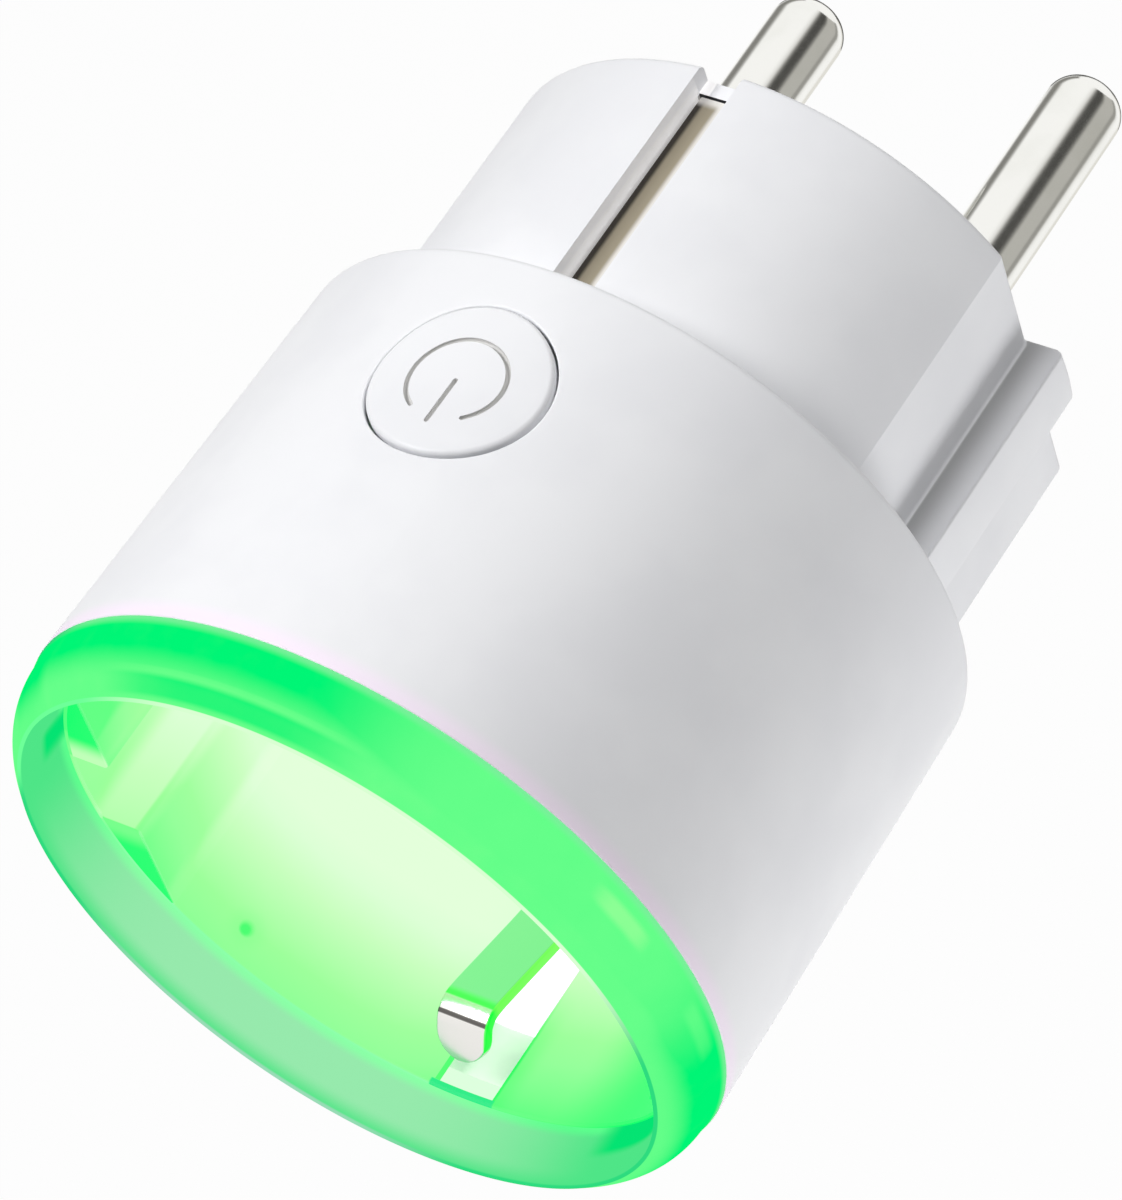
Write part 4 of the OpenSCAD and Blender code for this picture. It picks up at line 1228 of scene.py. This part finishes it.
@dataclass
class Outlet:
    """The lit ring, and the recess cup with its holes, slots, screws' seats and dimples."""

    ring_centre: Point2 = (17.885, -46.8)
    ring_round: float = 4.2
    ring_in_r: float = 20.5
    seam_steps: tuple[Point2, ...] = ((0.06, 0.0), (0.03, 0.05))
    crest_r: float = 20.32
    lip_in: tuple[Point2, ...] = ((20.31, -50.27), (20.28, -50.295), (20.24, -50.3), (20.205, -50.285),
                                  (20.185, -50.25), (20.17, -49.93), (20.0, -48.5), (19.95, -46.2))
    tongue_y: float = -44.45
    tongue_out: float = 21.1
    cup_in_r: float = 19.75
    cup_out_r: float = 20.4
    cup_edge: float = 0.2
    blank_r: float = 19.0
    mouth_over: float = 0.1
    mouth_bevel: float = 0.15
    floor_round: float = 0.35
    pad_x: float = 17.0
    groove: float = 2.9
    rounds: Point3 = (0.3, 0.25, 0.3)
    hole_r: float = 2.65
    hole_off: float = 0.004
    hole_chamfer: float = 0.3
    slot_half: float = 2.0
    slot_front: float = -45.8
    slot_low: float = 15.8
    slot_out: float = 22.0
    dimple_r: float = 0.55
    dimple_at: float = 43.5
    dimple_y: float = -44.2
    screw_at: tuple[Point2, ...] = ((9.5, -9.5), (-9.5, 9.5))
    screw_head: Point2 = (2.3, 0.9)
    screw_shank: Point2 = (1.3, 0.4)

    def ring(self) -> Object:
        """Makes the lit ring.

        Returns:
            The object.
        """
        seam, edge, inner = PLAN.y_seam, PLAN.shell_front_r, self.ring_in_r
        end = math.degrees(math.acos((self.crest_r - self.ring_centre[0]) / self.ring_round))
        profile = [(inner, seam), (inner, self.tongue_y), (self.tongue_out, self.tongue_y),
                   (self.tongue_out, seam)]
        profile += [(edge - in_by, seam - out_by) for in_by, out_by in self.seam_steps]
        profile += arc(self.ring_centre, self.ring_round, 0, -end, 28)
        profile += [*self.lip_in, (inner, PLAN.y_rim)]
        return carve(Solid.lathe(profile).build("light_ring_lens"), (), 30)

    def holes(self, back: float) -> list[Solid]:
        """Makes the cutters of the holes, slots, screws' seats and dimples.

        Args:
            back: Where the cutters that go through end.

        Returns:
            The cutters.
        """
        floor, bevel, radius, cuts = PLAN.y_floor, self.hole_chamfer, self.hole_r, []
        for side in (1, -1):
            steps = [(radius + bevel + 0.5, floor - 0.5), (radius, floor + bevel), (radius, back)]
            cuts.append(Solid.rod((side * PLAN.pin_x, self.hole_off), steps, 72))
            levels = sorted((side * self.slot_low, side * self.slot_out))
            cuts.append(Solid.box((-self.slot_half, self.slot_half), (self.slot_front, back), tuple(levels)))
        for centre in self.screw_at:
            (head, deep), (shank, start) = self.screw_head, self.screw_shank
            cuts.append(Solid.rod(centre, [(head, floor - 1), (head, floor + deep)], 48))
            cuts.append(Solid.rod(centre, [(shank, floor + start), (shank, back)], 32))
        return cuts + [self.dimple(math.radians(self.dimple_at + 90 * quarter)) for quarter in range(4)]

    def cup(self) -> Object:
        """Makes the recess cup.

        Returns:
            The object.
        """
        floor, back, rim, bevel = PLAN.y_floor, PLAN.y_floor_back, PLAN.y_rim, self.cup_edge
        steps = [rim - (rim - floor) * i / 6 for i in range(7)]
        outer = [(0.0, back), (self.cup_out_r - bevel, back), (self.cup_out_r, back - bevel)]
        outer += [(self.cup_out_r, y) for y in steps[-2::-1]] + [(self.blank_r, rim), (0.0, rim)]
        made = Solid.lathe(outer).build("recess_cup")
        inner = ribbed_outline(self.cup_in_r, self.pad_x, self.groove, self.rounds)
        wider = shrunk(inner, self.cup_in_r, -self.mouth_over)
        rows = [(rim - 1.0, wider), (rim - 0.01, wider), (rim + self.mouth_bevel, inner)]
        rows += [(y, inner) for y in steps[1:-1]]
        rows += eased(inner, self.cup_in_r, floor, self.floor_round, 18)
        return carve(made, [Solid.loft(rows)] + self.holes(back + 1), 26)

    def dimple(self, turn: float) -> Solid:
        """Makes the cutter of one small round hollow in the recess's wall.

        Args:
            turn: Where it lies about the axis, in radians from +X.

        Returns:
            The cutter.
        """
        rows: list[list[Point3]] = []
        for out, share in ((0.25, 0.35), (0.18, 0.7), (0.0, 1.0), (-0.3, 1.25)):
            reach = self.cup_in_r + out
            rows.append([(reach * math.cos(turn) - aside * math.sin(turn), self.dimple_y + ahead,
                          reach * math.sin(turn) + aside * math.cos(turn))
                         for aside, ahead in circle(self.dimple_r * share, 24)])
        return Solid().rows(rows)

    def build(self) -> None:
        """Makes the ring and the cup."""
        dress(self.ring(), LitRing().build(), "body", "light_guide", "light_ring")
        dress(self.cup(), LitCup().build(), "body", "outlet_white", "socket_cup")


@dataclass
class EarthStrap:
    """One sprung earth strap, from its half-round tip in the recess to the slot in the plug."""

    thickness: float = 0.8
    edge: float = 0.16
    clip_half: float = 1.72
    strip_half: float = 1.22
    tip_half: float = 0.12
    narrow_y: float = -21.75
    narrow_over: float = 0.8
    side_view: tuple[Point2, ...] = (
        (-44.9, 17.8), (-43.7, 15.5), (-42.9, 15.15), (-42.0, 15.3), (-35.5, 16.95), (-32.8, 17.4),
        (-30.8, 17.4), (-30.3, 13.0), (-29.6, 12.5), (-23.3, 12.5), (-22.5, 13.1), (-21.9, 16.1),
        (-21.2, 16.7), (-1.17, 16.7))
    steps: int = 8
    tip_points: int = 40
    tip_step: float = 0.12

    def path(self) -> list[Vector]:
        """Draws the strap's side view with rounded bends.

        Returns:
            Y and Z of its points, from the tip.
        """
        points = [Vector(p) for p in self.side_view]
        line = [points[0]]
        for before, here, after in zip(points, points[1:], points[2:]):
            reach = min((before - here).length, (after - here).length) * 0.5
            start = here + (before - here).normalized() * reach
            end = here + (after - here).normalized() * reach
            for t in (i / self.steps for i in range(self.steps + 1)):
                line.append(start * (1 - t) ** 2 + here * (2 * t * (1 - t)) + end * t ** 2)
        clean = [line[0]]
        for point in line[1:] + [points[-1]]:
            if (point - clean[-1]).length > 1e-3:
                clean.append(point)
        return clean

    def half_width(self, travelled: float, y: float) -> float:
        """Finds half the strap's width at a place.

        Args:
            travelled: Length of strap from the tip.
            y: Place along the axis.

        Returns:
            Half the width.
        """
        if travelled < self.clip_half:
            return max(math.sqrt(self.clip_half ** 2 - (self.clip_half - travelled) ** 2), self.tip_half)
        share = min(max((y - self.narrow_y + self.narrow_over) / self.narrow_over, 0.0), 1.0)
        return self.clip_half + (self.strip_half - self.clip_half) * share

    def solid(self, turn: int) -> Solid:
        """Makes the strap's solid.

        Args:
            turn: 1 for the upper strap, -1 for the lower one.

        Returns:
            The solid.
        """
        line = self.path()
        fine: list[Vector] = []
        for one, two in zip(line, line[1:]):
            step = self.tip_step if len(fine) < self.tip_points else 1.0
            count = max(1, int((two - one).length / step))
            fine += [one + (two - one) * i / count for i in range(count)]
        fine.append(line[-1])
        rows: list[list[Point3]] = []
        travelled, last = 0.0, fine[0]
        for point, along in zip(fine, headings(fine)):
            travelled, last = travelled + (point - last).length, point
            width, half = self.half_width(travelled, point[0]), self.thickness / 2
            edge = min(self.edge, width * 0.9)
            corners = [(width, half, edge), (-width, half, edge), (-width, -half, edge), (width, -half, edge)]
            rows.append([(x, point[0] - along[1] * h, (point[1] + along[0] * h) * turn)
                         for x, h in rounded(corners, 3)])
        return Solid().rows(rows)

    def build(self) -> None:
        """Makes both straps."""
        finish = StrapMetal().build()
        for turn, label in ((1, "upper"), (-1, "lower")):
            made = carve(self.solid(turn).build(f"earth_clip_{label}"), (), 40)
            dress(made, finish, "body", "earth_metal", f"{label}_earth_strap")


class Inner(Enum):
    """Finishes of the inner parts, which keep their own meshes, each with the nodes that wear it."""

    SHUTTER = Plain("shutter_plastic", (0.62, 0.64, 0.62), (0.52, 0.55, 0.53), 0.4), "safety_shutter"
    SPRING = (Plain("spring_steel", (0.62, 0.61, 0.59), (0.45, 0.44, 0.42), 0.25, 1.0, 0.8),
              "earth_bridge", "shutter_spring", "shutter_retainer")
    CONTACT = (Plain("contact_copper", (0.83, 0.62, 0.32), (0.68, 0.46, 0.22), 0.28, 1.0, 1.2),
               "line_contact", "neutral_contact", "board_header")
    BUSBAR = (Plain("busbar_copper", (0.80, 0.42, 0.26), (0.62, 0.30, 0.17), 0.3, 1.0, 1.6),
              "shunt_resistor", "line_busbar", "neutral_busbar")
    BOARD = Board(), "main_board", "control_board"
    RELAY = Plain("relay_blue", (0.03, 0.16, 0.42), (0.02, 0.12, 0.34), 0.38), "relay_base", "relay_cover"
    BOBBIN = Plain("bobbin_plastic", (0.72, 0.70, 0.64), (0.62, 0.60, 0.54)), "relay_bobbin"
    COIL = Wound("relay_winding_wire"), "relay_winding"
    IRON = (Plain("soft_iron", (0.40, 0.39, 0.37), (0.27, 0.26, 0.25), 0.35, 1.0, 0.9),
            "relay_core", "relay_yoke", "relay_armature")
    SILVER = (Plain("silver_contact", (0.86, 0.84, 0.80), (0.68, 0.65, 0.60), 0.22, 1.0, 0.7),
              "relay_moving_contact", "relay_fixed_contact")
    TINNED = Plain("tinned", (0.72, 0.72, 0.70), (0.55, 0.55, 0.54), 0.3, 1.0, 0.6), "relay_terminals"
    SWITCH = (Plain("switch_black", (0.025, 0.025, 0.028), (0.045, 0.045, 0.048), 0.45),
              "switch_body", "switch_plunger")
    # The flex gets a painted glow.
    FLEX = (Plain("flex_white", (0.70, 0.72, 0.62), (0.62, 0.64, 0.55), 0.4, 0.0, 2.5, (0.29, 0.26, 0.34)),
            "led_flex")
    CHIP = (Plain("chip_black", (0.03, 0.03, 0.032), (0.05, 0.05, 0.05), 0.55, 0.0, 0.5),
            "metering_chip", "converter_chip", "chip_resistors")
    MODULE = Plain("module_blue", (0.015, 0.07, 0.20), (0.02, 0.10, 0.26), 0.32, 0.0, 1.0), "radio_module"
    SHIELD = (Plain("shield_tin", (0.70, 0.70, 0.69), (0.58, 0.58, 0.57), 0.24, 1.0, 2.0),
              "radio_shield", "crystal")
    VARISTOR = Plain("varistor_blue", (0.02, 0.14, 0.36), (0.03, 0.19, 0.44), 0.3, 0.0, 1.4), "varistor"
    FUSE = Plain("fuse_body", (0.55, 0.42, 0.26), (0.44, 0.33, 0.20), 0.45), "fuse"
    FILM = Plain("film_yellow", (0.72, 0.52, 0.05), (0.62, 0.43, 0.04), 0.4, 0.0, 2.5), "film_capacitor"
    CAN = Plain("can_sleeve", (0.02, 0.03, 0.07), (0.03, 0.045, 0.10), 0.3, 0.0, 2.5), "bulk_capacitors"
    FERRITE = Plain("ferrite", (0.06, 0.058, 0.055), (0.10, 0.095, 0.09), 0.6, 0.0, 0.5), "inductor"
    CHOKE = Wound("choke_winding_wire", pitch=0.2, along_z=False), "inductor_winding"
    SCREW = Plain("screw_zinc", (0.70, 0.70, 0.68), (0.52, 0.52, 0.50), 0.26, 1.0, 0.6), "assembly_screws"
    LAMP = Plain("lamp_chip", (0.75, 0.95, 0.62), (0.62, 0.88, 0.48), 0.3, 0.0, 0.4), "led_chips"


class InnerWorks:
    """The boards, relay, contacts, switch and small parts inside, which keep the CAD's shapes."""

    def build(self) -> None:
        """Gives each node its material."""
        for finish, *names in (inner.value for inner in Inner):
            material = finish.build()
            for name in names:
                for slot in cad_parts[name].material_slots:
                    slot.material = material
                LOG.info("%s: %s", name, finish.name)


# ---- Studio ----

@dataclass(frozen=True)
class Lamp:
    """One soft round lamp, and whether the metal mirrors it."""

    name: str
    place: Point3
    power: float
    mirrored: bool = True


@dataclass(frozen=True)
class Card:
    """A soft grey card that the plated pins mirror, on a round white screen about the Y axis.

    It stands at a centre, in full strength as far as inner and gone at outer, in degrees about Y.
    Its level is how bright it is, and it starts along Y at start, in metres.
    """

    centre: float
    inner: float
    outer: float
    level: float
    start: float = 0.05


@dataclass
class Studio:
    """Camera, floor, world, lamps and the cards that the metal mirrors, in metres."""

    place: Point3 = (0.1757635, -0.1854230, 0.2736776)
    right: Point3 = (0.82674408, 0.51221223, -0.2326647)
    up: Point3 = (-0.28309542, 0.73617191, 0.61474214)
    back: Point3 = (0.48615966, -0.44236811, 0.7536307)
    lens: float = 194.549
    sensor: float = 36.0
    middle: Point3 = (0.0, -0.016, 0.0)
    floor_z: float = -0.45
    floor_half: float = 3.0
    floor_share: float = 0.97
    world: float = 0.17
    lamp_size: float = 0.2
    lamps: tuple[Lamp, ...] = (
        Lamp("left_lamp", (-0.206, -0.187, 0.4224), 1.74), Lamp("right_lamp", (0.360, -0.187, -0.302), 1.49),
        Lamp("front_lamp", (0.205, 0.271, 0.355), 0.82, mirrored=False))
    screen_r: float = 0.25
    screen_y: Point2 = (0.112, 0.5)
    screen_steps: int = 96
    card_tint: Colour = (1.0, 0.985, 0.93)
    card_edge: float = 8.0
    cards: tuple[Card, ...] = (
        Card(12.0, 30.0, 66.0, 0.48), Card(-30.0, 2.0, 11.0, 0.33), Card(40.5, 2.0, 24.0, 0.075),
        Card(180.0, 1.0, 26.0, 0.24), Card(-95.0, 3.0, 24.0, 0.79), Card(-123.0, 26.0, 35.0, 0.12, 0.19))

    def camera(self) -> None:
        """Makes the camera."""
        data = bpy.data.cameras.new("camera")
        data.lens, data.sensor_width, data.sensor_fit = self.lens, self.sensor, "AUTO"
        data.clip_start, data.clip_end = 0.01, 20.0
        made = bpy.data.objects.new("camera", data)
        pose = Matrix((self.right, self.up, self.back)).transposed().to_4x4()
        pose.translation = self.place
        made.matrix_world = pose
        bpy.context.scene.collection.objects.link(made)
        bpy.context.scene.camera = made

    @staticmethod
    def _white_to_the_eye(g: Graph, soft: Node, white: Node, share: Number) -> Node:
        """Mixes two shaders by what looks at them.

        Args:
            g: The graph of both.
            soft: What lights the object.
            white: What the camera, a mirror or a clear piece sees.
            share: How much of that they see.

        Returns:
            The mixing node.
        """
        rays = g.node("LightPath").outputs
        kinds = ("Camera", "Glossy", "Transmission")
        camera, glossy, clear = (Value(g, rays[f"Is {kind} Ray"]) for kind in kinds)
        seen = camera.above(glossy).above(clear)
        factor = seen if share == 1 else seen * share
        return g.node("MixShader", None, factor, soft.outputs[0], white.outputs[0])

    def surroundings(self) -> None:
        """Makes the world: plain light on the object, white to the eye."""
        world = bpy.data.worlds.new("studio")
        bpy.context.scene.world = world
        g = Graph(world, "World")
        soft, white = (g.node("Background", None, WHITE, level) for level in (self.world, 1.0))
        g.finish(self._white_to_the_eye(g, soft, white, 1))

    def floor(self) -> None:
        """Makes the floor: white to the eye, with the object's shadow."""
        half, top, thick = self.floor_half / MM, self.floor_z / MM, 5
        made = Solid.box((-half, half), (-half, half), (top - thick, top)).build("floor")
        g = Graph(bpy.data.materials.new("floor_white"))
        paint = g.node("BsdfPrincipled", None, Base_Color=(0.92, 0.92, 0.92), Roughness=0.9)
        glow = g.node("Emission", None, WHITE, 1.0)
        made.data.materials.append(g.finish(self._white_to_the_eye(g, paint, glow, self.floor_share)))

    def light(self) -> None:
        """Makes the lamps."""
        for lamp in self.lamps:
            data = bpy.data.lights.new(lamp.name, "AREA")
            data.shape, data.size, data.energy = "DISK", self.lamp_size, lamp.power
            made = bpy.data.objects.new(lamp.name, data)
            made.location = lamp.place
            made.visible_camera, made.visible_glossy = False, lamp.mirrored
            made.rotation_mode = "QUATERNION"
            made.rotation_quaternion = (Vector(self.middle) - Vector(lamp.place)).to_track_quat("-Z", "Y")
            bpy.context.scene.collection.objects.link(made)

    def screen(self) -> None:
        """Makes the white screen with its grey cards, which only mirror images show."""
        sheet, count = Solid(), 2 * self.screen_steps
        for x, z in circle(self.screen_r / MM, self.screen_steps):
            sheet.points += [(x, edge / MM, z) for edge in self.screen_y]
        sheet.faces = [(i, i + 1, (i + 3) % count, (i + 2) % count) for i in range(0, count, 2)]
        made = sheet.build("reflection_screen")
        g = Graph(bpy.data.materials.new("reflection_cards"))
        x, y, z = g.axes()
        _, turn = g.turned(x, z)
        level: object = WHITE
        for card in self.cards:
            start = card.start / MM
            mask = turn.lobe(card.centre, card.inner, card.outer) * y.ramp(start - self.card_edge, start)
            level = g.mix(mask, level, tuple(part * card.level for part in self.card_tint))
        made.data.materials.append(g.finish(g.node("Emission", None, level, 1.0)))
        for ray in ("camera", "diffuse", "transmission", "volume_scatter", "shadow"):
            setattr(made, f"visible_{ray}", False)

    def build(self) -> None:
        """Makes the whole studio."""
        bpy.context.scene.view_settings.view_transform = "Standard"
        self.camera()
        self.surroundings()
        self.floor()
        self.screen()
        self.light()


def corners(limits: tuple[Vector, Vector]) -> list[list[float]]:
    """Two corners as plain lists."""
    return [[float(c) for c in corner] for corner in limits]


def main() -> None:
    """Builds everything in order."""
    logging.basicConfig(level=logging.INFO, format="%(message)s")
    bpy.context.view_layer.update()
    studio = Studio()
    studio.build()
    Housing().build()
    Button().build()
    Plug().build()
    Outlet().build()
    EarthStrap().build()
    InnerWorks().build()


if __name__ == "__main__":
    main()
